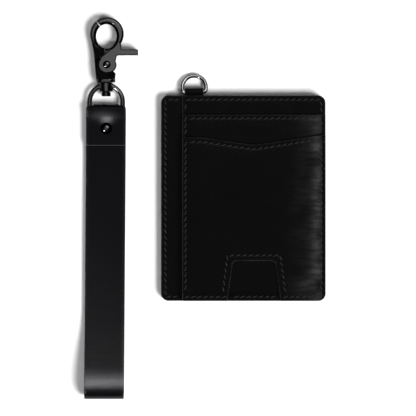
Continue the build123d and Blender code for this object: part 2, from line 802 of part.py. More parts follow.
# ---------------------------------------------------------------- the hook's pieces
def make_hook_body():
    """The hook's casting: collar, base, tongue between the gate's cheeks, wall and fixed jaw."""
    outline = body_outline()
    recess = recess_outline()
    above_pivot = rectangle(-far, far, pivot[1], far)
    base = centred_slab(outline - recess - above_pivot, hook_thickness)
    wall = centred_slab(outline - recess, wall_thickness)
    neck = rectangle(pivot[0] - tongue_radius, pivot[0] + tongue_radius, 0, pivot[1]) & outline
    tongue = centred_slab((outline & recess) + disc(pivot, tongue_radius) + neck, tongue_thickness)
    jaw = eye_band() - centred_slab(gate_side(moving_gap), hook_thickness)
    collar_face = RectangleRounded(collar_width, collar_thickness, collar_roundness * collar_thickness)
    collar = extrude(Plane.XZ * collar_face, amount=-collar_height)
    body = base + wall + tongue + collar - eye_opening() + jaw
    body -= round_bar(*pivot, -hook_thickness, hook_thickness, pivot_radius)
    body -= cross_bar(0, 0, -1, pin_depth, pin_radius)
    body -= round_bar(*pivot, spring_z - spring_height / 2, hook_thickness / 2, spring_pocket_radius)
    slot_width = spring_wire + 2 * leg_slot_side_clearance
    slot_height = spring_wire + 2 * leg_slot_height_clearance
    swing_width = spring_wire + 2 * leg_swing_clearance
    body -= leg_slot(spring_radius, fixed_leg_end + leg_end_gap, fixed_leg_angle, slot_width, slot_height)
    swing_steps = 3
    for step in range(swing_steps + 1):
        angle = gate_leg_angle - step * gate_open_angle / swing_steps
        body -= leg_slot(spring_radius, web_radius, angle, swing_width, slot_height)
    return on_hook(body)


def make_gate():
    """The gate: swinging half of the eye, two cheeks that straddle the tongue, thumb arm."""
    cheeks = lever_outline()
    below_web = rectangle(-far, far, -far, pivot[1] + web_foot)
    web = cheeks - disc(pivot, web_radius) - below_web
    gate = centred_slab(web, hook_thickness)
    gate += slab(cheeks, cheek_z, cheek_thickness)
    gate += slab(cheeks, -cheek_z - cheek_thickness, cheek_thickness)
    gate -= eye_opening()
    gate += eye_band() & centred_slab(gate_side(0.0), hook_thickness)
    gate -= round_bar(*pivot, -hook_thickness, hook_thickness, pivot_radius + pivot_clearance)
    grip_width = spring_wire + 2 * leg_slot_height_clearance
    grip_end = web_radius + leg_grip + leg_end_gap
    gate -= leg_slot(spring_radius, grip_end, gate_leg_angle, grip_width, grip_width)
    return on_hook(gate)


def make_pivot_rivet():
    """The rivet that the gate turns on, domed at both ends."""
    half = hook_thickness / 2
    shank = round_bar(*pivot, -half, half, pivot_radius)
    head = dome(*pivot, half, pivot_head_radius, pivot_head_height)
    return on_hook(shank + head + mirror(head, about=Plane.XY))


def make_gate_spring():
    """The coiled spring round the pivot that holds the gate shut, with its two legs."""
    section = Rectangle(spring_wire, spring_height)
    coil = revolve(Plane.XZ * Pos(spring_radius, 0) * section, axis=Axis.Z)
    coil = Pos(*pivot, spring_z) * coil
    coil += leg_slot(spring_radius, fixed_leg_end, fixed_leg_angle, spring_wire, spring_wire)
    coil += leg_slot(spring_radius, web_radius + leg_grip, gate_leg_angle, spring_wire, spring_wire)
    return on_hook(coil)


# ---------------------------------------------------------------- writing the nodes
nodes = {
    "back_pocket_panel": make_back_pocket_panel,
    "back_panel": make_back_panel,
    "back_lining": lambda: make_lining(back_lining_z),
    "front_lining": lambda: make_lining(front_lining_z),
    "front_base_panel": make_front_base_panel,
    "pocket_backing_panel": lambda: slab(covered_by_pockets(wallet_top), backing_panel_z, panel_leather),
    "upper_slot_panel": lambda: pocket_panel(covered_by_pockets(slot_edge_y), panel_left, slot_panel_z),
    "front_pocket_panel": lambda: pocket_panel(front_pocket_outline(), panel_left, pocket_panel_z),
    "ring_tab": make_tab,
    "perimeter_thread": make_perimeter_thread,
    "panel_thread": make_panel_thread,
    "slot_thread": make_slot_thread,
    "pocket_thread": make_pocket_thread,
    "window_thread": make_window_thread,
    "back_thread": make_back_thread,
    "back_pocket_thread": make_back_pocket_thread,
    "wallet_ring": make_wallet_ring,
    "strap_leather": make_strap_leather,
    "rivet_cap": make_rivet_cap,
    "rivet_post": make_rivet_post,
    "swivel_eye": make_swivel_eye,
    "swivel_pin": make_swivel_pin,
    "hook_body": make_hook_body,
    "gate_lever": make_gate,
    "pivot_rivet": make_pivot_rivet,
    "gate_spring": make_gate_spring,
}

os.makedirs("parts", exist_ok=True)
for name, make in nodes.items():
    export_step(make(), f"parts/{name}.step")

print(f"set {overall_width:.2f} x {overall_length:.2f}")
print(f"small ring's bar at {small_ring_x:.3f} {small_ring_y:.3f} {small_ring_z:.3f}, droop {ring_droop:.2f}")
print(f"eye bar and swivel axis at x {strap_x:.3f}, y {bar_y:.3f}, z {eye_height:.3f}")
print(f"gate pivot at {strap_x + pivot[0]:.3f} {hook_foot_y + pivot[1]:.3f}")
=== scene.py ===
"""Looks of the card wallet and its wrist strap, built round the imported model.

Lengths inside the helpers are in millimetres, and become metres when a mesh is made.
"""
import json
import math

import bpy
import numpy as np
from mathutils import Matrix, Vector
from mathutils.geometry import delaunay_2d_cdt
from mathutils.kdtree import KDTree


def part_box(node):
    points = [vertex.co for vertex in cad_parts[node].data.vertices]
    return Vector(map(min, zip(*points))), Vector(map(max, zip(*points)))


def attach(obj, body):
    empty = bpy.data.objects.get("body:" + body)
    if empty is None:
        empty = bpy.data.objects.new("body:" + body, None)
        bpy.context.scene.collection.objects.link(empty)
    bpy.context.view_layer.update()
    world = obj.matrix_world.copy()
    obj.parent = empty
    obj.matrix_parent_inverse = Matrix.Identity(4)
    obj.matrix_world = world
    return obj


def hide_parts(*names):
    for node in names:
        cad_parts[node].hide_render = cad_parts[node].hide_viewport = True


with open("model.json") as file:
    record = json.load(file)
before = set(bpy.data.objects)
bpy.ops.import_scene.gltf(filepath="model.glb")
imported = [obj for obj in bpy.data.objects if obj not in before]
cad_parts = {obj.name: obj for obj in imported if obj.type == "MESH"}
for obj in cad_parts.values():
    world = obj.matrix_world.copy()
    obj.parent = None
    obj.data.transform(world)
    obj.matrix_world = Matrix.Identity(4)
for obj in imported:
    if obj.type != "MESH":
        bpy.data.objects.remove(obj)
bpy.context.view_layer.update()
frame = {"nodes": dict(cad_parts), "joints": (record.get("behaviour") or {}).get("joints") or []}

MM = 0.001
rng = np.random.default_rng(7)


def node_box(node):
    """A CAD node's lowest and highest corners, in millimetres."""
    low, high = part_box(node)
    return np.array(low) / MM, np.array(high) / MM


# ------ places read from the frame
base_low, base_high = node_box("front_base_panel")
backing_low, backing_high = node_box("pocket_backing_panel")
slot_high = node_box("upper_slot_panel")[1]
pocket_high = node_box("front_pocket_panel")[1]
back_low, back_high = node_box("back_panel")
back_pocket_low, back_pocket_high = node_box("back_pocket_panel")
tab_low, tab_high = node_box("ring_tab")
strap_low, strap_high = node_box("strap_leather")
cap_low, cap_high = node_box("rivet_cap")
joints = {joint["name"]: joint for joint in frame["joints"]}
ring_bar = np.array(joints["ring_swing"]["pos_m"]) / MM
eye_bar = np.array(joints["eye_swing"]["pos_m"]) / MM
pivot = np.array(joints["gate_open"]["pos_m"]) / MM
gate_low, gate_high = node_box("gate_lever")

WALLET_LEFT, WALLET_BOTTOM = base_low[:2]
WALLET_RIGHT, WALLET_TOP = base_high[:2]
PANEL_LEFT = backing_low[0]
PANEL_MIDDLE = (PANEL_LEFT + WALLET_RIGHT) / 2
SLOT_EDGE = slot_high[1]
HOOK_HALF = (gate_high[2] - gate_low[2]) / 2
COLLAR_TOP = node_box("hook_body")[0][1] + 1.6
JAW_FOOT = pivot[1] + 6.6

# ------ sizes of the leather and metal work
PANEL_LEATHER = 0.8
CARD_SPACE = 0.8
CORNER_RADIUS = 3.6
CUT_CORNER = 0.35
HEM_WIDTH = 3.6
HEM_SETBACK = 0.1
HEM_CORNER = 0.5
MOUTH_GAP = 4
EDGE_ROUND = 0.42
SEAM_INSET = 2.1
PANEL_EDGE_INSET = 1.65
SLOT_INSET = 1.8
POCKET_INSET = 2.2
WINDOW_INSET = 2.7
BACK_POCKET_INSET = 2.0
WINDOW_HEIGHT = 19.5
WINDOW_TOP_WIDTH = 20.3
WINDOW_FOOT_WIDTH = 25.7
WINDOW_RADIUS = 2.2
# The V edge's corners: share of the panel's width, and depth below the wallet's top.
POCKET_DROPS = ((0.0, 20.3), (0.15, 20.6), (0.5, 24.2), (1.0, 19.0))
POCKET_RADII = (30.0, 22.0)
BACK_NOTCH_RADIUS = 9.0
STITCH_PITCH = 3.0
STITCH_LENGTH = 2.35
THREAD_RADIUS = 0.27
STITCH_RINGS = 9
STITCH_SIDES = 8
STRAP_LEATHER = 1.4
STRAP_LEAN = -1.0
STRAP_TAPER = 38.0
PLY_GAP = 0.3
FOLD_INSIDE = 1.25
FLAP_LENGTH = 20.15
FLAP_RISE = 4.0
HIDDEN_LENGTH = 7.65
NECK_HALF = 6.4
SHOULDER_DROP = 0.75
EAR_ANGLE = 46.0
EAR_ROUND = 1.6
# Width of the painted shade along the castings' top edges.
RIM_WIDTH = 0.50
CASTING_VOXEL = 0.12
GRID_STEP = 0.8
# Lighter colour along panel edges: partly scuffing, partly painted highlight.
EDGE_SCUFF_AND_HIGHLIGHT = 0.5

# Light and camera: lengths in metres, and the key light's spread in degrees.
FLOOR_REACH = 60.0
KEY_PLACE = (1.0, -0.75, 1.35)
KEY_SPREAD = 32
KEY_STRENGTH = 5.3
WORLD_STRENGTH = 0.012
CAMERA_DISTANCE = 2.0
CAMERA_CENTRE = (0.00108, 0.00005)
SEEN_WIDTH = 0.2024


def hill(offset, width):
    """A smooth bump of height one, centred where offset is zero."""
    return np.exp(-(offset / width) ** 2)


# ------ materials
def new_material(name):
    """A new node material, its node tree and its shader."""
    material = bpy.data.materials.new(name)
    material.use_nodes = True
    tree = material.node_tree
    shader = tree.nodes["Principled BSDF"]
    return material, tree, shader


def add(tree, kind, **values):
    """Adds a node and sets its properties or inputs."""
    node = tree.nodes.new(kind)
    for key, value in values.items():
        if hasattr(node, key):
            setattr(node, key, value)
        else:
            node.inputs[key.replace("_", " ")].default_value = value
    return node


def object_coordinates(tree, scale=(1, 1, 1)):
    """Object coordinates, stretched by scale."""
    coordinates = tree.nodes.new("ShaderNodeTexCoord")
    mapping = add(tree, "ShaderNodeMapping", Scale=scale)
    tree.links.new(coordinates.outputs["Object"], mapping.inputs["Vector"])
    return mapping.outputs["Vector"]


def noise(tree, vector, scale, detail=3.0, roughness=0.55):
    """A noise texture's value."""
    node = add(tree, "ShaderNodeTexNoise", Scale=scale, Detail=detail, Roughness=roughness)
    tree.links.new(vector, node.inputs["Vector"])
    return node.outputs["Fac"]


def wave(tree, direction, scale, distortion, detail):
    """A wave texture's node, its bands along a direction."""
    node = add(tree, "ShaderNodeTexWave", bands_direction=direction)
    for key, value in (("Scale", scale), ("Distortion", distortion), ("Detail", detail)):
        node.inputs[key].default_value = value
    return node


def remap(tree, value, low, high, to_low, to_high):
    """Maps a value from one range to another."""
    node = add(tree, "ShaderNodeMapRange", From_Min=low, From_Max=high, To_Min=to_low, To_Max=to_high)
    tree.links.new(value, node.inputs["Value"])
    return node.outputs["Result"]


def blend_colours(tree, factor, first, second):
    """Mixes two colours, each a tuple or a socket."""
    node = add(tree, "ShaderNodeMix", data_type="RGBA")
    tree.links.new(factor, node.inputs["Factor"])
    for socket, colour in ((node.inputs["A"], first), (node.inputs["B"], second)):
        if isinstance(colour, tuple):
            socket.default_value = (*colour, 1.0)
        else:
            tree.links.new(colour, socket)
    return node.outputs["Result"]


def named_value(tree, name):
    """A value stored on the mesh's points."""
    return add(tree, "ShaderNodeAttribute", attribute_name=name).outputs["Fac"]


def combine(tree, operation, first, second):
    """A clamped sum, product or other result of two sockets."""
    node = add(tree, "ShaderNodeMath", operation=operation, use_clamp=True)
    tree.links.new(first, node.inputs[0])
    tree.links.new(second, node.inputs[1])
    return node.outputs["Value"]


def bump(tree, shader, layers):
    """Stacks bumps, each a (height socket, depth in metres, strength), into the shader's normal."""
    last = None
    for height, distance, strength in layers:
        node = add(tree, "ShaderNodeBump", Strength=strength, Distance=distance)
        tree.links.new(height, node.inputs["Height"])
        if last is not None:
            tree.links.new(last, node.inputs["Normal"])
        last = node.outputs["Normal"]
    tree.links.new(last, shader.inputs["Normal"])


def leather(name, colour, wear_and_sheen, roughness, grain, streaky):
    """Smooth dyed leather: fine pores, faint creases, uneven sheen. Its colour turns lighter where the mesh
    says so: scuffed edges, and painted highlights and sheen.
    """
    material, tree, shader = new_material(name)
    place = object_coordinates(tree)
    pores = add(
        tree, "ShaderNodeTexVoronoi", feature="SMOOTH_F1", Scale=1600.0, Smoothness=0.6, Randomness=0.9)
    tree.links.new(place, pores.inputs["Vector"])
    fine = noise(tree, place, 2600.0, 4.0)
    creases = noise(tree, object_coordinates(tree, (0.22, 1.0, 1.0)), 620.0, 5.0, 0.65)
    clouds = noise(tree, place, 34.0, 4.0)
    patches = noise(tree, place, 110.0, 3.0)
    streaks = remap(tree, creases, 0.38, 0.62, 1.0 - streaky, 1.0 + streaky)
    # Scuffing and painted highlights and sheen, read from the mesh's points, blend in the lighter colour.
    wear_and_sheen_share = combine(tree, "MULTIPLY", named_value(tree, "wear_and_painted_sheen"), streaks)
    base = blend_colours(tree, clouds, colour, tuple(1.7 * part for part in colour))
    tree.links.new(blend_colours(tree, wear_and_sheen_share, base, wear_and_sheen), shader.inputs["Base Color"])
    gloss = remap(tree, patches, 0.3, 0.7, roughness - 0.04, roughness + 0.06)
    tree.links.new(gloss, shader.inputs["Roughness"])
    shader.inputs["Specular IOR Level"].default_value = 0.13
    bump(tree, shader, (
        (creases, 0.00010, 0.30 * grain),
        (pores.outputs["Distance"], 0.00005, 0.55 * grain),
        (fine, 0.00002, 0.5 * grain),
    ))
    return material


def raw_edge(name, colour):
    """The fibrous cut edge of the leather."""
    material, tree, shader = new_material(name)
    place = object_coordinates(tree)
    fibres = noise(tree, object_coordinates(tree, (1.0, 1.0, 5.0)), 1900.0, 4.0)
    spread = remap(tree, fibres, 0.3, 0.7, 0.0, 1.0)
    dark = tuple(0.45 * part for part in colour)
    tree.links.new(blend_colours(tree, spread, dark, colour), shader.inputs["Base Color"])
    tree.links.new(remap(tree, noise(tree, place, 500.0), 0, 1, 0.6, 0.9), shader.inputs["Roughness"])
    bump(tree, shader, ((fibres, 0.00008, 0.6),))
    return material


def plated_metal(name, flat, painted_dark_rim, roughness):
    """Plate with faint scratches and cloudy spots, its colour painted shade on steep faces and on points
    the mesh marks as shaded: the dark that rims and recesses would mirror.
    """
    material, tree, shader = new_material(name)
    place = object_coordinates(tree)
    scratches = noise(tree, object_coordinates(tree, (1.0, 14.0, 3.0)), 700.0, 4.0)
    clouds = noise(tree, place, 240.0, 3.0)
    facing = tree.nodes.new("ShaderNodeTexCoord")
    parts = tree.nodes.new("ShaderNodeSeparateXYZ")
    tree.links.new(facing.outputs["Normal"], parts.inputs["Vector"])
    level = add(tree, "ShaderNodeMath", operation="ABSOLUTE")
    tree.links.new(parts.outputs["Z"], level.inputs[0])
    # Painted shade: steeper faces take the dark second colour.
    steepness = remap(tree, level.outputs["Value"], 0.86, 0.98, 1.0, 0.0)
    painted_shade_share = combine(tree, "MAXIMUM", steepness, named_value(tree, "painted_shade"))
    flat_colour = blend_colours(tree, clouds, tuple(0.86 * part for part in flat), flat)
    tree.links.new(blend_colours(tree, painted_shade_share, flat_colour, painted_dark_rim), shader.inputs["Base Color"])
    gloss = remap(tree, scratches, 0.35, 0.75, roughness, roughness + 0.09)
    tree.links.new(gloss, shader.inputs["Roughness"])
    shader.inputs["Metallic"].default_value = 1.0
    bump(tree, shader, ((scratches, 0.000006, 0.25), (clouds, 0.00003, 0.15)))
    return material


def thread_material(name, colour):
    """Waxed thread, with its twist as fine slanting ridges."""
    material, tree, shader = new_material(name)
    place = object_coordinates(tree, (1.0, 1.0, 0.4))
    ply = wave(tree, "DIAGONAL", 900.0, 1.5, 2.0)
    tree.links.new(place, ply.inputs["Vector"])
    fibres = noise(tree, place, 5200.0, 2.0)
    base = blend_colours(tree, ply.outputs["Fac"], tuple(0.5 * part for part in colour), colour)
    tree.links.new(base, shader.inputs["Base Color"])
    tree.links.new(remap(tree, fibres, 0.3, 0.7, 0.42, 0.62), shader.inputs["Roughness"])
    shader.inputs["Specular IOR Level"].default_value = 0.3
    bump(tree, shader, ((ply.outputs["Fac"], 0.00006, 0.6), (fibres, 0.00002, 0.4)))
    return material


def cloth(name, colour):
    """Fine twill lining: slanting ribs crossed by the weft."""
    material, tree, shader = new_material(name)
    place = object_coordinates(tree)
    ribs = wave(tree, "DIAGONAL", 1100.0, 0.4, 1.0)
    weft = wave(tree, "X", 1500.0, 0.3, 1.0)
    for bands in (ribs, weft):
        tree.links.new(place, bands.inputs["Vector"])
    base = blend_colours(tree, ribs.outputs["Fac"], tuple(0.45 * part for part in colour), colour)
    tree.links.new(base, shader.inputs["Base Color"])
    tree.links.new(remap(tree, noise(tree, place, 900.0), 0, 1, 0.7, 0.95), shader.inputs["Roughness"])
    shader.inputs["Sheen Weight"].default_value = 0.25
    bump(tree, shader, ((ribs.outputs["Fac"], 0.00008, 0.7), (weft.outputs["Fac"], 0.00004, 0.5)))
    return material


# Each leather's third colour is its lighter tone for scuffed edges and for painted highlights and sheen.
WALLET_LEATHER = leather("wallet_leather", (0.0009, 0.0009, 0.0011), (0.060, 0.060, 0.062), 0.26, 1.0, 0.45)
BAND_LEATHER = leather("band_leather", (0.0014, 0.0014, 0.0018), (0.105, 0.105, 0.110), 0.27, 0.6, 0.10)
CUT_EDGE = raw_edge("leather_cut_edge", (0.10, 0.105, 0.105))
THREAD = thread_material("thread", (0.020, 0.020, 0.022))
LINING = cloth("lining_cloth", (0.030, 0.030, 0.034))
# Each metal's second colour is painted shade for rims, steep faces and recesses.
BLACK_NICKEL = plated_metal("black_nickel", (0.37, 0.37, 0.38), (0.014, 0.014, 0.015), 0.13)
BLACK_RIVET = plated_metal("black_rivet", (0.24, 0.24, 0.245), (0.010, 0.010, 0.011), 0.11)
NICKEL = plated_metal("polished_nickel", (0.85, 0.84, 0.82), (0.22, 0.22, 0.22), 0.09)
SPRING_WIRE = plated_metal("spring_steel", (0.55, 0.55, 0.56), (0.30, 0.30, 0.31), 0.20)


# ------ flat outlines
def corner_arc(before, corner, after, radius, step):
    """Points of an arc that rounds one corner of a polyline."""
    into = (before - corner) / np.linalg.norm(before - corner)
    out = (after - corner) / np.linalg.norm(after - corner)
    opening = math.acos(np.clip(np.dot(into, out), -1, 1))
    if radius <= 0 or abs(math.pi - opening) < 0.01:
        return [corner]
    reach = radius / math.tan(opening / 2)
    centre = corner + (into + out) / np.linalg.norm(into + out) * radius / math.sin(opening / 2)
    first = corner + into * reach - centre
    last = corner + out * reach - centre
    start = math.atan2(first[1], first[0])
    sweep = math.atan2(last[1], last[0]) - start
    sweep = (sweep + math.pi) % (2 * math.pi) - math.pi
    count = max(3, math.ceil(abs(sweep) * radius / step))
    angles = start + sweep * np.linspace(0, 1, count + 1)
    return [centre + radius * np.array((math.cos(a), math.sin(a))) for a in angles]


def rounded(corners, closed=True, step=0.5):
    """A polyline through (x, y, radius) corners, its corners rounded."""
    points = [np.array(corner[:2], float) for corner in corners]
    path = []
    for index, corner in enumerate(corners):
        if not closed and index in (0, len(corners) - 1):
            path.append(points[index])
            continue
        before = points[index - 1]
        after = points[(index + 1) % len(points)]
        path.extend(corner_arc(before, points[index], after, corner[2], step))
    return np.array(path)


def divided(path, step, closed=True):
    """The same polyline with no stretch longer than step."""
    result = []
    ends = np.roll(path, -1, axis=0) if closed else path[1:]
    for start, end in zip(path, ends):
        count = max(1, math.ceil(np.linalg.norm(end - start) / step))
        for number in range(count):
            result.append(start + (end - start) * number / count)
    if not closed:
        result.append(path[-1])
    return np.array(result)


def evenly(path, step, margin=0.0):
    """Evenly spaced places along an open polyline, with their directions and the spacing between them."""
    lengths = np.linalg.norm(np.diff(path, axis=0), axis=1)
    along = np.concatenate(([0.0], np.cumsum(lengths)))
    total = along[-1] - 2 * margin
    count = max(1, round(total / step))
    places = margin + total * (np.arange(count) + 0.5) / count

    def points_at(distances):
        return np.stack([np.interp(distances, along, path[:, axis]) for axis in (0, 1)], axis=1)

    direction = points_at(places + 0.2) - points_at(places - 0.2)
    direction /= np.linalg.norm(direction, axis=1)[:, None]
    return points_at(places), direction, total / count


def distance_to(path, points, closed=True):
    """Each point's distance to a polyline, and how far along it the nearest place is."""
    starts = path if closed else path[:-1]
    ends = np.roll(path, -1, axis=0) if closed else path[1:]
    best = np.full(len(points), 1e9)
    where = np.zeros(len(points))
    run = 0.0
    for start, end in zip(starts, ends):
        edge = end - start
        length = max(np.linalg.norm(edge), 1e-9)
        share = np.clip(((points - start) @ edge) / length ** 2, 0, 1)
        gap = np.linalg.norm(points - start - share[:, None] * edge, axis=1)
        nearer = gap < best
        best[nearer] = gap[nearer]
        where[nearer] = run + share[nearer] * length
        run += length
    return best, where


def inside(path, points):
    """Whether each point is inside a closed polyline."""
    result = np.zeros(len(points), bool)
    previous = np.roll(path, 1, axis=0)
    for start, end in zip(previous, path):
        crosses = (start[1] > points[:, 1]) != (end[1] > points[:, 1])
        rise = end[1] - start[1]
        if rise == 0:
            continue
        x_at = start[0] + (points[:, 1] - start[1]) * (end[0] - start[0]) / rise
        result ^= crosses & (points[:, 0] < x_at)
    return result


def inset_ring(path, distance):
    """A closed outline moved inwards by distance, point by point."""
    before = path - np.roll(path, 1, axis=0)
    after = np.roll(path, -1, axis=0) - path
    before /= np.maximum(np.linalg.norm(before, axis=1), 1e-9)[:, None]
    after /= np.maximum(np.linalg.norm(after, axis=1), 1e-9)[:, None]
    tangent = before + after
    tangent /= np.maximum(np.linalg.norm(tangent, axis=1), 1e-9)[:, None]
    inward = np.stack((-tangent[:, 1], tangent[:, 0]), axis=1)
    return path + inward * distance


# ------ making meshes
def make_piece(name, vertices, faces, materials, wear_and_sheen_amounts=None, face_materials=None):
    """A mesh object from millimetre vertices, smooth-shaded except at hard corners."""
    mesh = bpy.data.meshes.new(name)
    mesh.from_pydata((np.asarray(vertices) * MM).tolist(), [], [list(map(int, f)) for f in faces])
    for material in materials:
        mesh.materials.append(material)
    if face_materials is not None:
        mesh.polygons.foreach_set("material_index", np.asarray(face_materials, dtype=np.int32))
    # Each point's share of the lighter leather colour: scuffing, painted highlights and painted sheen.
    attribute = mesh.attributes.new("wear_and_painted_sheen", "FLOAT", "POINT")
    attribute.data.foreach_set("value", np.zeros(len(vertices)) if wear_and_sheen_amounts is None else wear_and_sheen_amounts)
    mesh.validate()
    mesh.shade_smooth()
    mesh.set_sharp_from_angle(angle=math.radians(50))
    piece = bpy.data.objects.new(name, mesh)
    bpy.context.scene.collection.objects.link(piece)
    return piece


def stands_in(piece, body, node):
    """Rides a piece on its body, in place of a CAD node."""
    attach(piece, body)
    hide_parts(node)


def smooth_noise(points, size, seed):
    """Gentle hills of about unit height and the given size, the same every time."""
    source = np.random.default_rng(seed)
    value = np.zeros(len(points))
    waves = 9
    for _ in range(waves):
        direction = source.uniform(0, 2 * math.pi)
        phase = source.uniform(0, 2 * math.pi)
        wavelength = size * source.uniform(0.7, 1.6)
        run = points[:, 0] * math.cos(direction) + points[:, 1] * math.sin(direction)
        value += np.sin(2 * math.pi * run / wavelength + phase)
    return value / math.sqrt(waves)


class Seam:
    """One line of stitching: its path, and where its stitches lie."""

    def __init__(self, path, margin=0.0, slant=20.0):
        self.path = np.asarray(path, float)
        self.spots, self.directions, self.pitch = evenly(self.path, STITCH_PITCH, margin)
        self.margin = margin
        self.slant = slant

    def pull(self, points):
        """How far the seam pulls the leather down at each point."""
        gap, along = distance_to(self.path, points, closed=False)
        phase = np.cos(2 * math.pi * (along - self.margin) / self.pitch)
        groove = 0.13 * hill(gap, 0.55)
        holes = 0.16 * hill(gap, 0.40) * np.clip(phase, 0, 1) ** 3
        puckers = 0.055 * hill(gap - 1.0, 1.3) * (0.5 + 0.5 * phase)
        return groove + holes + puckers


def seam_rows(seams, outline):
    """Close rows of points beside each seam, so that its dimples have shape."""
    rows = []
    for seam in seams:
        spots, directions, _ = evenly(seam.path, 0.5)
        across = np.stack((-directions[:, 1], directions[:, 0]), axis=1)
        for shift in (-1.0, -0.5, 0.0, 0.5, 1.0):
            rows.append(spots + across * shift)
    if not rows:
        return np.zeros((0, 2))
    points = np.concatenate(rows)
    gap, _ = distance_to(outline, points)
    return points[inside(outline, points) & (gap > 0.95)]


def hex_grid(outline, seams):
    """Points spread evenly inside an outline, away from its edge and from the seams."""
    low, high = outline.min(axis=0), outline.max(axis=0)
    rows = np.arange(low[1], high[1], GRID_STEP * math.sqrt(3) / 2)
    points = []
    for number, y in enumerate(rows):
        xs = np.arange(low[0] + (number % 2) * GRID_STEP / 2, high[0], GRID_STEP)
        points.append(np.stack((xs, np.full(len(xs), y)), axis=1))
    points = np.concatenate(points)
    gap, _ = distance_to(outline, points)
    keep = inside(outline, points) & (gap > 1.3)
    for seam in seams:
        near, _ = distance_to(seam.path, points, closed=False)
        keep &= near > 1.45
    return points[keep]


def panel_triangles(outline, seams):
    """Points over a panel, the outline's own first, and the triangles between them."""
    rings = [inset_ring(outline, inset) for inset in (0.0, 0.06, 0.2, EDGE_ROUND, 0.8)]
    inner = np.concatenate((hex_grid(outline, seams), seam_rows(seams, outline)))
    flat = np.concatenate((*rings, inner))
    count = len(outline)
    edges = []
    for start in range(0, len(rings) * count, count):
        edges += [(start + i, start + (i + 1) % count) for i in range(count)]
    flat_points = [Vector(point) for point in flat]
    found, _, triangles, *_ = delaunay_2d_cdt(flat_points, edges, [], 0, 1e-5)
    points = np.array([tuple(point) for point in found])
    middles = points[np.array([list(corners) for corners in triangles])].mean(axis=1)
    keep = inside(outline, middles)
    return points, [tuple(corners) for corners, kept in zip(triangles, keep) if kept]


def panel_heights(points, gap, seams, pillow, waves, seed, extra):
    """How far each point stands above the panel's nominal face, gap being its distance to the edge."""
    short = EDGE_ROUND - np.minimum(gap, EDGE_ROUND)
    height = np.sqrt(np.maximum(EDGE_ROUND ** 2 - short ** 2, 0)) - EDGE_ROUND
    swell = 1 - hill(gap, 4.0)
    for seam in seams:
        near, _ = distance_to(seam.path, points, closed=False)
        swell = np.minimum(swell, 1 - hill(near, 3.5))
        height -= seam.pull(points)
    height += pillow * swell + waves * swell * smooth_noise(points, 26.0, seed)
    return height if extra is None else height + extra(points)


def leather_panel(name, outline, face_z, seams, up, seed, pillow, waves, hems=(), hem_depth=0.0,
                  extra=None, sheen=None):
    """A leather panel: rounded turned edge, seams pulled in, gentle swell between them.

    face_z is the height of its outer face, which looks up (up=1) or down (up=-1). Under it, the hems
    are turned edges of hem_depth that keep the panel off the next one.
    """
    outline = divided(outline, 0.6)
    count = len(outline)
    top, triangles = panel_triangles(outline, seams)
    gap, _ = distance_to(outline, top)
    height = panel_heights(top, gap, seams, pillow, waves, seed, extra)
    # Lighter edges, partly scuffing and partly painted highlight, strongest along the left edges; sheen
    # adds painted sheen patches.
    on_left = top[:, 0] < outline[:, 0].min() + EDGE_ROUND
    wear_and_sheen_amounts = EDGE_SCUFF_AND_HIGHLIGHT * hill(gap, 0.30) * np.where(on_left, 1.0, 0.45)
    if sheen is not None:
        wear_and_sheen_amounts += sheen(top)
    vertices, wear_and_sheen, faces = [], [], []

    def add_points(points, level, wear_and_sheen_there):
        vertices.append(np.column_stack((points, np.broadcast_to(level, len(points)))))
        wear_and_sheen.append(np.broadcast_to(wear_and_sheen_there, len(points)))

    def add_face(corners):
        faces.append(corners if up > 0 else corners[::-1])

    def add_walls(high, low, number):
        for i in range(number):
            j = (i + 1) % number
            add_face((high + j, high + i, low + i, low + j))

    outer = top[:count]
    under = face_z - up * PANEL_LEATHER
    add_points(top, face_z + up * height, wear_and_sheen_amounts)
    add_points(outer, under + up * 0.08, 0.5 * EDGE_SCUFF_AND_HIGHLIGHT)
    add_points(inset_ring(outer, 0.10), under, 0.5 * EDGE_SCUFF_AND_HIGHLIGHT)
    for triangle in triangles:
        add_face(triangle)
    start = len(top)
    add_walls(0, start, count)
    add_walls(start, start + count, count)
    start += count
    add_face([start + i for i in reversed(range(count))])
    start += count
    for hem in hems:
        hem = divided(hem, 1.0)
        number = len(hem)
        add_points(hem, under, 0.3 * EDGE_SCUFF_AND_HIGHLIGHT)
        add_points(hem, under - up * hem_depth, 0.3 * EDGE_SCUFF_AND_HIGHLIGHT)
        add_walls(start, start + number, number)
        add_face([start + i for i in range(number)])
        add_face([start + number + i for i in reversed(range(number))])
        start += 2 * number
    piece = make_piece(name, np.concatenate(vertices), faces, [WALLET_LEATHER],
                       np.concatenate(wear_and_sheen))
    return piece, Surface(top, face_z + up * height, up)


class Surface:
    """The outer face of a panel, to lay stitches on."""

    def __init__(self, points, heights, up):
        self.points = points
        self.heights = heights
        self.up = up

    def height(self, spots):
        """The face's height at each spot, from the points around it."""
        result = []
        for spot in spots:
            gap = np.linalg.norm(self.points - spot, axis=1)
            nearest = np.argsort(gap)[:4]
            weight = 1 / (gap[nearest] + 0.05)
            result.append((self.heights[nearest] * weight).sum() / weight.sum())
        return np.array(result)


def tube_faces(start, rings, sides):
    """The faces of a tube of rings, which begins at point start, with its two end caps."""
    faces = []
    for ring in range(rings - 1):
        for side in range(sides):
            a = start + ring * sides + side
            b = start + ring * sides + (side + 1) % sides
            faces.append((a, b, b + sides, a + sides))
    last = start + (rings - 1) * sides
    faces.append(tuple(start + side for side in reversed(range(sides))))
    faces.append(tuple(last + side for side in range(sides)))
    return faces


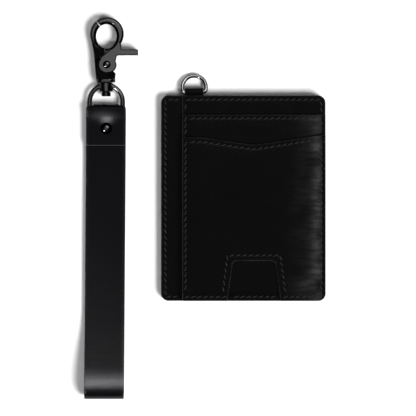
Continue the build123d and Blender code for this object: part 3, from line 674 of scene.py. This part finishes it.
def stitch_points(spot, direction, level, slant, up):
    """One stitch: rings of points round a short, arched, twisted thread."""
    turn = math.radians(slant + rng.uniform(-3, 3))
    along = np.array((
        direction[0] * math.cos(turn) - direction[1] * math.sin(turn),
        direction[0] * math.sin(turn) + direction[1] * math.cos(turn),
    ))
    across = np.array((-along[1], along[0]))
    length = STITCH_LENGTH * rng.uniform(0.96, 1.04)
    points = []
    for share in np.arange(STITCH_RINGS) / (STITCH_RINGS - 1):
        run = (share - 0.5) * length
        fat = math.sin(math.pi * (0.10 + 0.80 * share)) ** 0.5
        rise = up * (0.16 * math.sin(math.pi * share) ** 0.7 - 0.02)
        for angle in 2 * math.pi * np.arange(STITCH_SIDES) / STITCH_SIDES:
            ply = 1 + 0.16 * math.cos(2 * angle - 5.0 * math.pi * share)
            wide = THREAD_RADIUS * 1.12 * fat * ply * math.cos(angle)
            tall = THREAD_RADIUS * 0.80 * fat * ply * math.sin(angle)
            x, y = spot + along * run + across * wide
            points.append((x, y, level + rise + tall))
    return points


def stitches(name, runs):
    """All the stitches of a seam. Each run is (spots, directions, slant, surface)."""
    vertices, faces = [], []
    for spots, directions, slant, surface in runs:
        for spot, direction, level in zip(spots, directions, surface.height(spots)):
            faces += tube_faces(len(vertices), STITCH_RINGS, STITCH_SIDES)
            vertices += stitch_points(spot, direction, level, slant, surface.up)
    return make_piece(name, vertices, faces, [THREAD])


# ------ the wallet's outlines
def wallet_outline(left=None, top=None):
    """The wallet's rounded rectangle, or the part of it right of left and below top."""
    cut_left = left is not None
    cut_top = top is not None
    left = WALLET_LEFT if left is None else left
    top = WALLET_TOP if top is None else top
    return rounded((
        (left, WALLET_BOTTOM, CUT_CORNER if cut_left else CORNER_RADIUS),
        (WALLET_RIGHT, WALLET_BOTTOM, CORNER_RADIUS),
        (WALLET_RIGHT, top, CUT_CORNER if cut_top else CORNER_RADIUS),
        (left, top, CUT_CORNER if cut_left or cut_top else CORNER_RADIUS),
    ))


def pocket_edge(drop=0.0):
    """The front pocket's upper edge from left to right, as (x, y, radius) corners."""
    width = WALLET_RIGHT - PANEL_LEFT
    corners = []
    radii = (CUT_CORNER, *POCKET_RADII, CUT_CORNER)
    for (share, below), radius in zip(POCKET_DROPS, radii):
        corners.append((PANEL_LEFT + share * width, WALLET_TOP - below - drop, radius))
    return corners


def window_corners(outset=0.0, radius=WINDOW_RADIUS):
    """The thumb window from its left foot to its right foot, moved outwards by outset."""
    top = WALLET_BOTTOM + WINDOW_HEIGHT + outset
    half_top = WINDOW_TOP_WIDTH / 2 + outset
    half_foot = WINDOW_FOOT_WIDTH / 2 + outset
    return [
        (PANEL_MIDDLE - half_foot, WALLET_BOTTOM, 0.3),
        (PANEL_MIDDLE - half_top, top, radius),
        (PANEL_MIDDLE + half_top, top, radius),
        (PANEL_MIDDLE + half_foot, WALLET_BOTTOM, 0.3),
    ]


def front_pocket_outline():
    """The front pocket panel: V edge above, thumb window below."""
    return rounded((
        (PANEL_LEFT, WALLET_BOTTOM, CUT_CORNER),
        *window_corners(),
        (WALLET_RIGHT, WALLET_BOTTOM, CORNER_RADIUS),
        *reversed(pocket_edge()),
    ))


HEM_FOOT = WALLET_BOTTOM + HEM_SETBACK
HEM_RIGHT = WALLET_RIGHT - HEM_SETBACK
HEM_INNER_FOOT = WALLET_BOTTOM + HEM_WIDTH
HEM_INNER_RIGHT = WALLET_RIGHT - HEM_WIDTH


def side_hems(left, top):
    """The turned edges at the left, the foot and the right, as one closed outline."""
    outer_left = left + HEM_SETBACK
    inner_left = left + HEM_WIDTH
    return rounded((
        (outer_left, HEM_FOOT, CUT_CORNER if left > WALLET_LEFT else CORNER_RADIUS),
        (HEM_RIGHT, HEM_FOOT, CORNER_RADIUS),
        (HEM_RIGHT, top, 0),
        (HEM_INNER_RIGHT, top, 0),
        (HEM_INNER_RIGHT, HEM_INNER_FOOT, HEM_CORNER),
        (inner_left, HEM_INNER_FOOT, HEM_CORNER),
        (inner_left, top, 0),
        (outer_left, top, 0),
    ))


def pocket_hems():
    """The front pocket's turned edges, one on each side of the thumb window."""
    slope = (WINDOW_FOOT_WIDTH - WINDOW_TOP_WIDTH) / 2 / WINDOW_HEIGHT
    half_foot = WINDOW_FOOT_WIDTH / 2 + HEM_SETBACK
    half_inner = half_foot - slope * HEM_WIDTH
    outer_left = PANEL_LEFT + HEM_SETBACK
    inner_left = PANEL_LEFT + HEM_WIDTH
    left_top = WALLET_TOP - POCKET_DROPS[0][1] - 0.5
    right_top = WALLET_TOP - POCKET_DROPS[3][1] - 0.8
    left = rounded((
        (outer_left, HEM_FOOT, CUT_CORNER),
        (PANEL_MIDDLE - half_foot, HEM_FOOT, 0),
        (PANEL_MIDDLE - half_inner, HEM_INNER_FOOT, 0),
        (inner_left, HEM_INNER_FOOT, HEM_CORNER),
        (inner_left, left_top, 0),
        (outer_left, left_top, 0),
    ))
    right = rounded((
        (PANEL_MIDDLE + half_foot, HEM_FOOT, 0),
        (HEM_RIGHT, HEM_FOOT, CORNER_RADIUS),
        (HEM_RIGHT, right_top, 0),
        (HEM_INNER_RIGHT, right_top, 0),
        (HEM_INNER_RIGHT, HEM_INNER_FOOT, HEM_CORNER),
        (PANEL_MIDDLE + half_inner, HEM_INNER_FOOT, 0),
    ))
    return [left, right]


# ------ the wallet's seams
def side_path(points):
    """An open seam path with rounded corners."""
    return rounded([(x, y, CORNER_RADIUS - SEAM_INSET) for x, y in points], closed=False)


LEFT_SEAM_X = WALLET_LEFT + SEAM_INSET
RIGHT_SEAM_X = WALLET_RIGHT - SEAM_INSET
BOTTOM_SEAM_Y = WALLET_BOTTOM + SEAM_INSET
TOP_SEAM_Y = WALLET_TOP - SEAM_INSET
PANEL_SEAM_X = PANEL_LEFT + PANEL_EDGE_INSET


def seam_between(start, end, margin=0.0, slant=20.0):
    """A straight seam."""
    return Seam(np.array((start, end), float), margin, slant)


whole_round = Seam(side_path([
    (PANEL_LEFT - 2, BOTTOM_SEAM_Y), (LEFT_SEAM_X, BOTTOM_SEAM_Y), (LEFT_SEAM_X, TOP_SEAM_Y),
    (RIGHT_SEAM_X, TOP_SEAM_Y), (RIGHT_SEAM_X, BOTTOM_SEAM_Y), (PANEL_LEFT - 2, BOTTOM_SEAM_Y),
]), slant=22.0)
panel_seam = seam_between((PANEL_SEAM_X, BOTTOM_SEAM_Y + 3), (PANEL_SEAM_X, TOP_SEAM_Y - 2), slant=-20.0)
slot_seam = seam_between(
    (PANEL_SEAM_X + 1.6, SLOT_EDGE - SLOT_INSET), (RIGHT_SEAM_X - 1.4, SLOT_EDGE - SLOT_INSET), 0.4, 22.0)
v_path = rounded([(x, y, 14.0) for x, y, _ in pocket_edge(POCKET_INSET)], closed=False)
v_path = v_path[(v_path[:, 0] > PANEL_SEAM_X) & (v_path[:, 0] < RIGHT_SEAM_X)]
v_path = np.concatenate((
    [[PANEL_SEAM_X + 1.6, v_path[0, 1] + 0.1]], v_path,
    [[RIGHT_SEAM_X - 1.4, WALLET_TOP - POCKET_DROPS[3][1] - POCKET_INSET - 0.4]],
))
pocket_seam = Seam(v_path, 0.4, 22.0)
window_path = rounded(window_corners(WINDOW_INSET, 1.2), closed=False)
window_path = window_path[window_path[:, 1] > BOTTOM_SEAM_Y]
window_path = np.concatenate((
    [[window_path[0, 0] - 2.2, BOTTOM_SEAM_Y + 1.8]], window_path,
    [[window_path[-1, 0] + 2.2, BOTTOM_SEAM_Y + 1.8]],
))
window_seam = Seam(window_path, 0.4, 22.0)
back_edge_y = back_pocket_high[1]
back_middle = (WALLET_LEFT + WALLET_RIGHT) / 2
break_half = BACK_NOTCH_RADIUS + BACK_POCKET_INSET + 1.2
back_seam_y = back_edge_y - BACK_POCKET_INSET
break_left = (back_middle - break_half, back_seam_y)
break_right = (back_middle + break_half, back_seam_y)
back_left_seam = seam_between((LEFT_SEAM_X + 1.6, back_seam_y), break_left, 0.3)
back_right_seam = seam_between(break_right, (RIGHT_SEAM_X - 1.6, back_seam_y), 0.3)


# ------ the wallet's panels
def edge_falls(points):
    """The pockets sag away towards the wallet's right and lower edges."""
    right = WALLET_RIGHT - points[:, 0]
    foot = points[:, 1] - WALLET_BOTTOM
    return -0.45 * hill(right, 5.0) - 0.30 * hill(foot, 4.0)


def painted_right_side_sheen(points):
    """Painted sheen: lighter leather colour in patches just inside the right side's seam and at the low
    corner, where the pockets' curve would catch the light.
    """
    right = WALLET_RIGHT - points[:, 0]
    foot = points[:, 1] - WALLET_BOTTOM
    patchy = 0.55 + 0.30 * smooth_noise(points, 14.0, 77)
    side = 0.36 * hill(right - 4.2, 2.6)
    broad = hill(right - 6.0, 8.0)
    low_corner = 0.18 * broad * hill(foot - 6.0, 7.0)
    return np.clip((side + 0.11 * broad + low_corner) * patchy, 0, 1) * (right > 1.8)


def back_pocket_outline():
    """The back pocket panel, with a half-round thumb notch in its upper edge."""
    notch = [
        (back_middle - BACK_NOTCH_RADIUS * math.cos(a), back_edge_y - BACK_NOTCH_RADIUS * math.sin(a), 0)
        for a in np.linspace(math.pi, 0, 25)
    ]
    return rounded((
        (WALLET_LEFT, WALLET_BOTTOM, CORNER_RADIUS), (WALLET_RIGHT, WALLET_BOTTOM, CORNER_RADIUS),
        (WALLET_RIGHT, back_edge_y, CUT_CORNER), *notch, (WALLET_LEFT, back_edge_y, CUT_CORNER),
    ))


def build_wallet():
    """All the wallet's leather panels, with the surfaces that the stitches lie on."""
    half_hems = [side_hems(WALLET_LEFT, WALLET_TOP - MOUTH_GAP)]
    # The pockets' turned edges, sag and painted sheen.
    pocket_panel_options = dict(hem_depth=CARD_SPACE, extra=edge_falls, sheen=painted_right_side_sheen)
    plans = (
        ("front_base_leather", "front_base_panel", wallet_outline(), base_high[2], [whole_round], 1,
         dict(seed=3, pillow=0.12, waves=0.05, hems=half_hems,
              hem_depth=base_high[2] - base_low[2] - PANEL_LEATHER)),
        ("pocket_backing_leather", "pocket_backing_panel", wallet_outline(PANEL_LEFT), backing_high[2],
         [whole_round, panel_seam], 1, dict(seed=5, pillow=0.15, waves=0.05)),
        ("upper_slot_leather", "upper_slot_panel", wallet_outline(PANEL_LEFT, SLOT_EDGE), slot_high[2],
         [whole_round, panel_seam, slot_seam], 1,
         dict(seed=8, pillow=0.30, waves=0.10, hems=[side_hems(PANEL_LEFT, SLOT_EDGE - 0.3)], **pocket_panel_options)),
        ("front_pocket_leather", "front_pocket_panel", front_pocket_outline(), pocket_high[2],
         [whole_round, panel_seam, pocket_seam, window_seam], 1,
         dict(seed=13, pillow=0.35, waves=0.12, hems=pocket_hems(), **pocket_panel_options)),
        ("back_leather", "back_panel", wallet_outline(), back_low[2], [whole_round], -1,
         dict(seed=21, pillow=0.1, waves=0.05, hems=half_hems,
              hem_depth=back_high[2] - back_low[2] - PANEL_LEATHER)),
        ("back_pocket_leather", "back_pocket_panel", back_pocket_outline(), back_pocket_low[2],
         [whole_round, back_left_seam, back_right_seam], -1,
         dict(seed=34, pillow=0.0, waves=0.0, hems=[side_hems(WALLET_LEFT, back_edge_y - 0.3)],
              hem_depth=CARD_SPACE)),
    )
    surfaces = {}
    for name, node, outline, face_z, seams, up, options in plans:
        piece, surfaces[node] = leather_panel(name, outline, face_z, seams, up, **options)
        stands_in(piece, "wallet", node)
    return surfaces


def clear_of(spots, directions, regions):
    """Which stitches lie wholly on one side of each region's border."""
    ends = [spots + directions * shift for shift in (-1.3, 0.0, 1.3)]
    keep = np.ones(len(spots), bool)
    for region in regions:
        flags = [inside(region, end) for end in ends]
        keep &= (flags[0] == flags[1]) & (flags[1] == flags[2])
    return keep


def build_stitching(surfaces):
    """Every seam's stitches, each lying on the panel that is outermost there."""
    pocket = front_pocket_outline()
    slot_panel = wallet_outline(PANEL_LEFT, SLOT_EDGE)
    backing = wallet_outline(PANEL_LEFT)
    layers = [
        (pocket, surfaces["front_pocket_panel"]),
        (slot_panel, surfaces["upper_slot_panel"]),
        (backing, surfaces["pocket_backing_panel"]),
        (wallet_outline(), surfaces["front_base_panel"]),
    ]

    def on_front(seam):
        left = clear_of(seam.spots, seam.directions, [pocket, slot_panel, backing])
        runs = []
        for region, surface in layers:
            here = left & inside(region, seam.spots)
            left &= ~here
            runs.append((seam.spots[here], seam.directions[here], seam.slant, surface))
        return runs

    spots, directions = whole_round.spots, whole_round.directions
    low = spots[:, 1] < back_edge_y - 1.5
    high = spots[:, 1] > back_edge_y + 1.5
    back = surfaces["back_panel"]
    back_pocket = surfaces["back_pocket_panel"]
    for name, node, runs in (
        ("perimeter_stitches", "perimeter_thread", on_front(whole_round)),
        ("panel_stitches", "panel_thread", on_front(panel_seam)),
        ("slot_stitches", "slot_thread", on_front(slot_seam)),
        ("pocket_stitches", "pocket_thread", on_front(pocket_seam)),
        ("window_stitches", "window_thread", on_front(window_seam)),
        ("back_stitches", "back_thread", [
            (spots[low], directions[low], -22.0, back_pocket),
            (spots[high], directions[high], -22.0, back),
        ]),
        ("back_pocket_stitches", "back_pocket_thread", [
            (seam.spots, seam.directions, -20.0, back_pocket) for seam in (back_left_seam, back_right_seam)
        ]),
    ):
        stands_in(stitches(name, runs), "wallet", node)


# ------ linings
def build_lining(name, node, seed):
    """A lining sheet, lightly rippled, with a faint ridge along its mouth edge."""
    low, high = node_box(node)
    columns, rows = 49, 59
    xs = np.linspace(low[0], high[0], columns)
    ys = np.linspace(low[1], high[1], rows)
    grid = np.array([(x, y) for y in ys for x in xs])
    edge = np.minimum(grid - low[:2], high[:2] - grid).min(axis=1)
    middle = (low[2] + high[2]) / 2
    ripple = 0.08 * smooth_noise(grid, 22.0, seed) * np.clip(edge / 4.0, 0, 1)
    fold = 0.05 * hill(high[1] - 2.0 - grid[:, 1], 0.6)
    half = 0.11
    count = len(grid)
    vertices = np.concatenate((
        np.column_stack((grid, middle + half + ripple + fold)),
        np.column_stack((grid, middle - half + ripple + fold)),
    ))
    faces = []
    for row in range(rows - 1):
        for column in range(columns - 1):
            a = row * columns + column
            quad = (a, a + 1, a + columns + 1, a + columns)
            faces.append(quad)
            faces.append(tuple(count + i for i in reversed(quad)))
    border = (
        [c for c in range(columns)] + [r * columns + columns - 1 for r in range(1, rows)]
        + [(rows - 1) * columns + c for c in reversed(range(columns - 1))]
        + [r * columns for r in reversed(range(1, rows - 1))]
    )
    for a, b in zip(border, border[1:] + border[:1]):
        faces.append((b, a, count + a, count + b))
    piece = make_piece(name, vertices, faces, [LINING])
    stands_in(piece, "wallet", node)


# ------ bands of leather
def arc_path(centre, radius, start, sweep, step=0.3):
    """Points along an arc, angles in degrees."""
    count = max(4, math.ceil(abs(math.radians(sweep)) * radius / step))
    angles = np.radians(start + sweep * np.linspace(0, 1, count + 1))
    return [(centre[0] + radius * math.cos(a), centre[1] + radius * math.sin(a)) for a in angles]


def step_path(start, end, step=0.5):
    """A smooth S from one level to another, both ends level."""
    run, rise = end[0] - start[0], end[1] - start[1]
    count = max(6, math.ceil(abs(run) / step))
    shares = np.linspace(0, 1, count + 1)
    ease = shares ** 2 * (3 - 2 * shares)
    return [(start[0] + run * s, start[1] + rise * e) for s, e in zip(shares, ease)]


def joined(*parts):
    """One path from several, without doubled points, as an array."""
    path = [parts[0][0]]
    for part in parts:
        for point in part:
            if math.dist(point, path[-1]) > 0.02:
                path.append(point)
    return np.array(path)


SIDE_ARC = ((0.85, 0.55), (0.5, 0.9), (0.0, 1.0), (-0.5, 0.9), (-0.85, 0.55))
END_PINCH = (0.55, 0.85)
SIDE_WEAR = 0.12


def band(name, path, half_widths, thickness, centre_x, leather_material, crown=0.0, corner=0.28,
         painted_highlights=None):
    """A leather band along a (y, z) path, its rounded section swept from end to end."""
    tangent = np.gradient(path, axis=0)
    tangent /= np.linalg.norm(tangent, axis=1)[:, None]
    normal = np.stack((-tangent[:, 1], tangent[:, 0]), axis=1)
    half = thickness / 2
    across = np.linspace(-1, 1, 15)
    section = [(u, 1.0, 0.0) for u in across]
    section += [(1.0, level, bulge) for level, bulge in SIDE_ARC]
    section += [(u, -1.0, 0.0) for u in reversed(across)]
    section += [(-1.0, level, bulge) for level, bulge in reversed(SIDE_ARC)]
    size = len(section)
    vertices, wear_and_sheen = [], []
    for index, ((y, z), n, width) in enumerate(zip(path, normal, half_widths)):
        end_gap = min(index, len(path) - 1 - index)
        pinch = END_PINCH[end_gap] if end_gap < len(END_PINCH) else 1.0
        for u, v, bulge in section:
            x = centre_x(y) + u * (width - corner) + math.copysign(corner * bulge, u) * (bulge > 0)
            lift = v * half * pinch - crown * u * u * (1 if v > 0 else -1) * 0.5
            vertices.append((x, y + n[0] * lift, z + n[1] * lift))
            # Lighter sides from scuffing, plus any painted highlights passed in.
            wear_and_sheen_share = SIDE_WEAR * (bulge if bulge > 0 else max(0.0, abs(u) - 0.93) * 6)
            if painted_highlights is not None:
                wear_and_sheen_share += painted_highlights(x, y, z + n[1] * lift, u)
            wear_and_sheen.append(min(1.0, wear_and_sheen_share))
    faces = [(face[0], *face[:0:-1]) for face in tube_faces(0, len(path), size)]
    kinds = np.zeros(len(faces))
    kinds[:size] = 1
    kinds[-size - 2:] = 1
    return make_piece(name, vertices, faces, [leather_material, CUT_EDGE], np.array(wear_and_sheen), kinds)


def strap_painted_highlights(x, y, z, across):
    """Painted highlights on the strap's front ply: lighter colour just above the curve at its foot, fading
    up the strap, and in soft patches above the rivet.
    """
    if z < strap_high[2] * 0.3:
        return 0.0
    from_foot = y - strap_low[1]
    foot_highlight = 0.84 * hill(from_foot - 8.0, 2.1) + 0.26 * hill(from_foot - 11.0, 2.6)
    foot_highlight_tail = 0.11 * math.exp(-max(0.0, from_foot - 8.0) / 34.0) * (from_foot > 5.0)
    right, above = np.array((x, y)) - (cap_low[:2] + cap_high[:2]) / 2
    # pull and fold are painted highlights, where the leather's slopes above the rivet would catch the
    # light.
    pull = 1.2 * hill(right - 0.3, 2.3) * hill(above - 4.3, 1.5)
    fold = 0.22 * hill(right + 1.2, 6.0) * hill(above - 6.3, 2.0)
    return (foot_highlight + foot_highlight_tail) * (1.0 - 0.15 * across) + pull + fold


def build_strap():
    """The strap's folded band, from the flap's cut edge round to the hidden end."""
    half = STRAP_LEATHER / 2
    foot_y = strap_low[1]
    bar_y, bar_z = eye_bar[1], eye_bar[2]
    fold_radius = FOLD_INSIDE + half
    flap_z = cap_low[2] - half
    front_z = half + STRAP_LEATHER + PLY_GAP
    foot_radius = strap_high[2] / 2 - half
    foot_centre = (foot_y + strap_high[2] / 2, strap_high[2] / 2)
    taper_end = (foot_centre[0] + STRAP_TAPER, front_z)
    flap_end = strap_high[1] - FLAP_LENGTH
    hidden_end = strap_high[1] - HIDDEN_LENGTH
    rise_start = bar_y - FLAP_RISE
    flap = [(flap_end, flap_z), (flap_end + 0.12, flap_z), (flap_end + 0.35, flap_z)]
    flap += [(y, flap_z) for y in np.arange(flap_end + 1.0, rise_start, 0.8)]
    over = step_path((rise_start, flap_z), (bar_y, bar_z + fold_radius), 0.4)
    round_eye = arc_path((bar_y, bar_z), fold_radius, 90, -180)
    under = step_path((bar_y, bar_z - fold_radius), (rise_start, half), 0.4)
    back = [(y, half) for y in np.arange(rise_start, foot_centre[0], -1.2)] + [(foot_centre[0], half)]
    foot = arc_path(foot_centre, foot_radius, -90, -180, 0.4)
    rise = step_path((foot_centre[0], foot_centre[1] + foot_radius), taper_end, 0.7)
    front = [(y, front_z) for y in np.arange(taper_end[0], hidden_end, 1.0)]
    front += [(hidden_end - 0.35, front_z), (hidden_end - 0.12, front_z), (hidden_end, front_z)]
    path = joined(flap, over, round_eye, under, back, foot, rise, front)
    lengths = np.concatenate(([0], np.cumsum(np.linalg.norm(np.diff(path, axis=0), axis=1))))
    full = (strap_high[0] - strap_low[0]) / 2
    angle = np.degrees(np.arctan2(path[:, 1] - bar_z, path[:, 0] - bar_y))
    ears = (path[:, 1] > bar_z) & (angle > EAR_ANGLE)
    cut_away = (path[:, 0] > bar_y - SHOULDER_DROP) & (path[:, 1] < strap_high[2] - 1.0) & ~ears
    to_cut = np.abs(lengths[:, None] - lengths[cut_away][None, :]).min(axis=1)
    shortfall = np.clip(EAR_ROUND - to_cut, 0, EAR_ROUND)
    rounded_width = full - EAR_ROUND + np.sqrt(EAR_ROUND ** 2 - shortfall ** 2)
    widths = np.where(cut_away, NECK_HALF, rounded_width)
    middle_x = (strap_low[0] + strap_high[0]) / 2
    fold_top = strap_high[1]

    def centre_x(y):
        return middle_x + STRAP_LEAN * (fold_top - y) / (fold_top - foot_y)

    waviness = 0.10 * smooth_noise(np.column_stack((lengths, np.zeros(len(lengths)))), 60.0, 5)
    total = lengths.max()
    loose = np.clip((lengths - total * 0.55) / 20, 0, 1) * np.clip((total - lengths) / 30, 0, 1)
    path[:, 1] += waviness * loose
    piece = band("strap_band", path, widths, STRAP_LEATHER, centre_x, BAND_LEATHER,
                 crown=0.04, painted_highlights=strap_painted_highlights)
    stands_in(piece, "strap", "strap_leather")


def build_tab():
    """The small ring's leather tab: over the bar, and both ends down into the mouth."""
    half = PANEL_LEATHER / 2
    y, z = ring_bar[1], ring_bar[2]
    radius = tab_high[2] - z - half
    end_y = tab_low[1]
    ply = half + 0.01
    top = [(value, z + ply) for value in np.arange(end_y, y - 2.6, 0.7)]
    top += step_path((y - 2.4, z + ply), (y, z + radius), 0.3)
    loop = arc_path((y, z), radius, 90, -180, 0.2)
    foot = step_path((y, z - radius), (y - 2.4, z - ply), 0.3)
    foot += [(value, z - ply) for value in np.arange(y - 3.0, end_y, -0.7)]
    path = joined(top, loop, foot)
    middle = (tab_low[0] + tab_high[0]) / 2
    width = (tab_high[0] - tab_low[0]) / 2
    piece = band("ring_tab_leather", path, np.full(len(path), width), PANEL_LEATHER, lambda _: middle,
                 WALLET_LEATHER, corner=0.22)
    stands_in(piece, "wallet", "ring_tab")


# ------ metalwork
def from_walls(places, normals, height):
    """Distance in plan from each point to the nearest upright wall just below the top faces."""
    walls = (np.abs(normals[:, 2]) < 0.3) & (height < HOOK_HALF - 0.3) & (height > HOOK_HALF - 0.8)
    tree = KDTree(int(walls.sum()))
    for index, (x, y, _) in enumerate(places[walls]):
        tree.insert((x, y, 0.0), index)
    tree.balance()
    gaps = np.full(len(places), 10.0)
    for index in np.nonzero(height > HOOK_HALF - 0.3)[0]:
        gaps[index] = tree.find((places[index, 0], places[index, 1], 0.0))[2]
    return gaps


def softened(name, node, passes):
    """A copy of a CAD casting with its hard corners rounded, as tumbled and plated metal has them."""
    mesh = frame["nodes"][node].data.copy()
    mesh.name = name
    piece = bpy.data.objects.new(name, mesh)
    bpy.context.scene.collection.objects.link(piece)
    remesh = piece.modifiers.new("remesh", "REMESH")
    remesh.mode = "VOXEL"
    remesh.voxel_size = CASTING_VOXEL * MM
    soften = piece.modifiers.new("soften", "SMOOTH")
    soften.factor = 0.5
    soften.iterations = passes
    graph = bpy.context.evaluated_depsgraph_get()
    finished = bpy.data.meshes.new_from_object(piece.evaluated_get(graph))
    piece.modifiers.clear()
    piece.data = finished
    return piece


def point_vectors(mesh, name):
    """One vector for each point of a mesh, such as its place or its normal."""
    values = np.empty(3 * len(mesh.vertices))
    mesh.vertices.foreach_get(name, values)
    return values.reshape(-1, 3)


def painted_shade_amounts(mesh, unshaded_from):
    """Painted shade from 0 to 1: 0 on a casting's outermost faces beyond a given place along Y, 1 on their
    rims, on lower faces and below that place, and a light share on the collar.
    """
    places = point_vectors(mesh, "co") / MM
    height = np.abs(places[:, 2] - eye_bar[2])
    rim_gap = from_walls(places, point_vectors(mesh, "normal"), height)
    painted_dark_rim = np.clip((RIM_WIDTH - rim_gap) / 0.12, 0, 1)
    below_face = np.maximum(painted_dark_rim, np.clip((HOOK_HALF - 0.06 - height) / 0.12, 0, 1))
    below_jaw = np.clip((unshaded_from - places[:, 1]) / 0.6, 0, 1)
    collar = places[:, 1] < COLLAR_TOP
    below_face[collar] = 0.0
    below_jaw[collar] = 0.35
    return np.maximum(below_face, below_jaw)


def cast_copy(name, node, body, passes, unshaded_from=-math.inf):
    """A softened casting that stands in for its CAD node."""
    piece = softened(name, node, passes)
    mesh = piece.data
    attribute = mesh.attributes.new("painted_shade", "FLOAT", "POINT")
    # Painted shade for the rims, lower faces and the body below the jaw, stored on the points.
    attribute.data.foreach_set("value", painted_shade_amounts(mesh, unshaded_from))
    mesh.materials.clear()
    mesh.materials.append(BLACK_NICKEL)
    mesh.shade_smooth()
    stands_in(piece, body, node)


def build_metalwork():
    """Softened copies of the castings; the turned and wire pieces keep their CAD shape."""
    cast_copy("hook_casting", "hook_body", "hook", 16, JAW_FOOT)
    cast_copy("gate_casting", "gate_lever", "gate", 20)
    kept = (
        ("swivel_eye", BLACK_NICKEL), ("swivel_pin", BLACK_RIVET), ("pivot_rivet", BLACK_RIVET),
        ("rivet_cap", BLACK_RIVET), ("rivet_post", BLACK_RIVET), ("wallet_ring", NICKEL),
        ("gate_spring", SPRING_WIRE),
    )
    for node, material in kept:
        mesh = frame["nodes"][node].data
        for index in range(len(mesh.materials)):
            mesh.materials[index] = material


# ------ stage, light and camera
def build_floor():
    """A plain pale floor just under the object."""
    mesh = bpy.data.meshes.new("floor")
    corners = [(x * FLOOR_REACH, y * FLOOR_REACH, 0) for x, y in ((-1, -1), (1, -1), (1, 1), (-1, 1))]
    mesh.from_pydata(corners, [], [(0, 1, 2, 3)])
    floor = bpy.data.objects.new("floor", mesh)
    bpy.context.scene.collection.objects.link(floor)
    material, _, shader = new_material("floor_paper")
    shader.inputs["Base Color"].default_value = (0.92, 0.92, 0.92, 1)
    shader.inputs["Roughness"].default_value = 0.9
    shader.inputs["Specular IOR Level"].default_value = 0.1
    mesh.materials.append(material)
    floor.location.z = -0.00005


def add_lamp(light, place):
    """Puts a light at a place, aimed at the object."""
    lamp = bpy.data.objects.new(light.name, light)
    bpy.context.scene.collection.objects.link(lamp)
    lamp.location = place
    lamp.rotation_euler = (-Vector(place)).to_track_quat("-Z", "Y").to_euler()
    return lamp


def build_lights():
    """A broad key light that gloss doesn't mirror, three soft panels that it does, and a dim surround."""
    key = bpy.data.lights.new("key", "SUN")
    key.angle = math.radians(KEY_SPREAD)
    key.energy = KEY_STRENGTH
    add_lamp(key, KEY_PLACE).visible_glossy = False
    for name, place, size, radiance in (
        ("overhead", (0.0, 0.0, 3.2), (2.4, 2.4), 0.22),
        ("sheen", (0.55, 0.95, 1.75), (1.4, 0.7), 1.6),
        ("spark", (-0.75, -0.75, 1.05), (0.20, 0.20), 55.0),
    ):
        light = bpy.data.lights.new(name, "AREA")
        light.shape = "RECTANGLE"
        light.size, light.size_y = size
        light.energy = radiance * math.pi * size[0] * size[1]
        add_lamp(light, place)
    world = bpy.data.worlds.new("studio")
    bpy.context.scene.world = world
    world.use_nodes = True
    background = world.node_tree.nodes["Background"]
    background.inputs["Color"].default_value = (1, 1, 1, 1)
    background.inputs["Strength"].default_value = WORLD_STRENGTH


def build_camera():
    """A long lens straight above the object, and plain colours."""
    lens = bpy.data.cameras.new("camera")
    camera = bpy.data.objects.new("camera", lens)
    bpy.context.scene.collection.objects.link(camera)
    lens.sensor_width = 36.0
    lens.lens = lens.sensor_width * CAMERA_DISTANCE / SEEN_WIDTH
    lens.clip_start = 0.1
    camera.location = (*CAMERA_CENTRE, CAMERA_DISTANCE + 0.005)
    bpy.context.scene.camera = camera
    bpy.context.scene.view_settings.view_transform = "Standard"


# ------ building it all
panel_surfaces = build_wallet()
build_stitching(panel_surfaces)
build_lining("front_lining_cloth", "front_lining", 11)
build_lining("back_lining_cloth", "back_lining", 12)
build_strap()
build_tab()
build_metalwork()
build_floor()
build_lights()
build_camera()
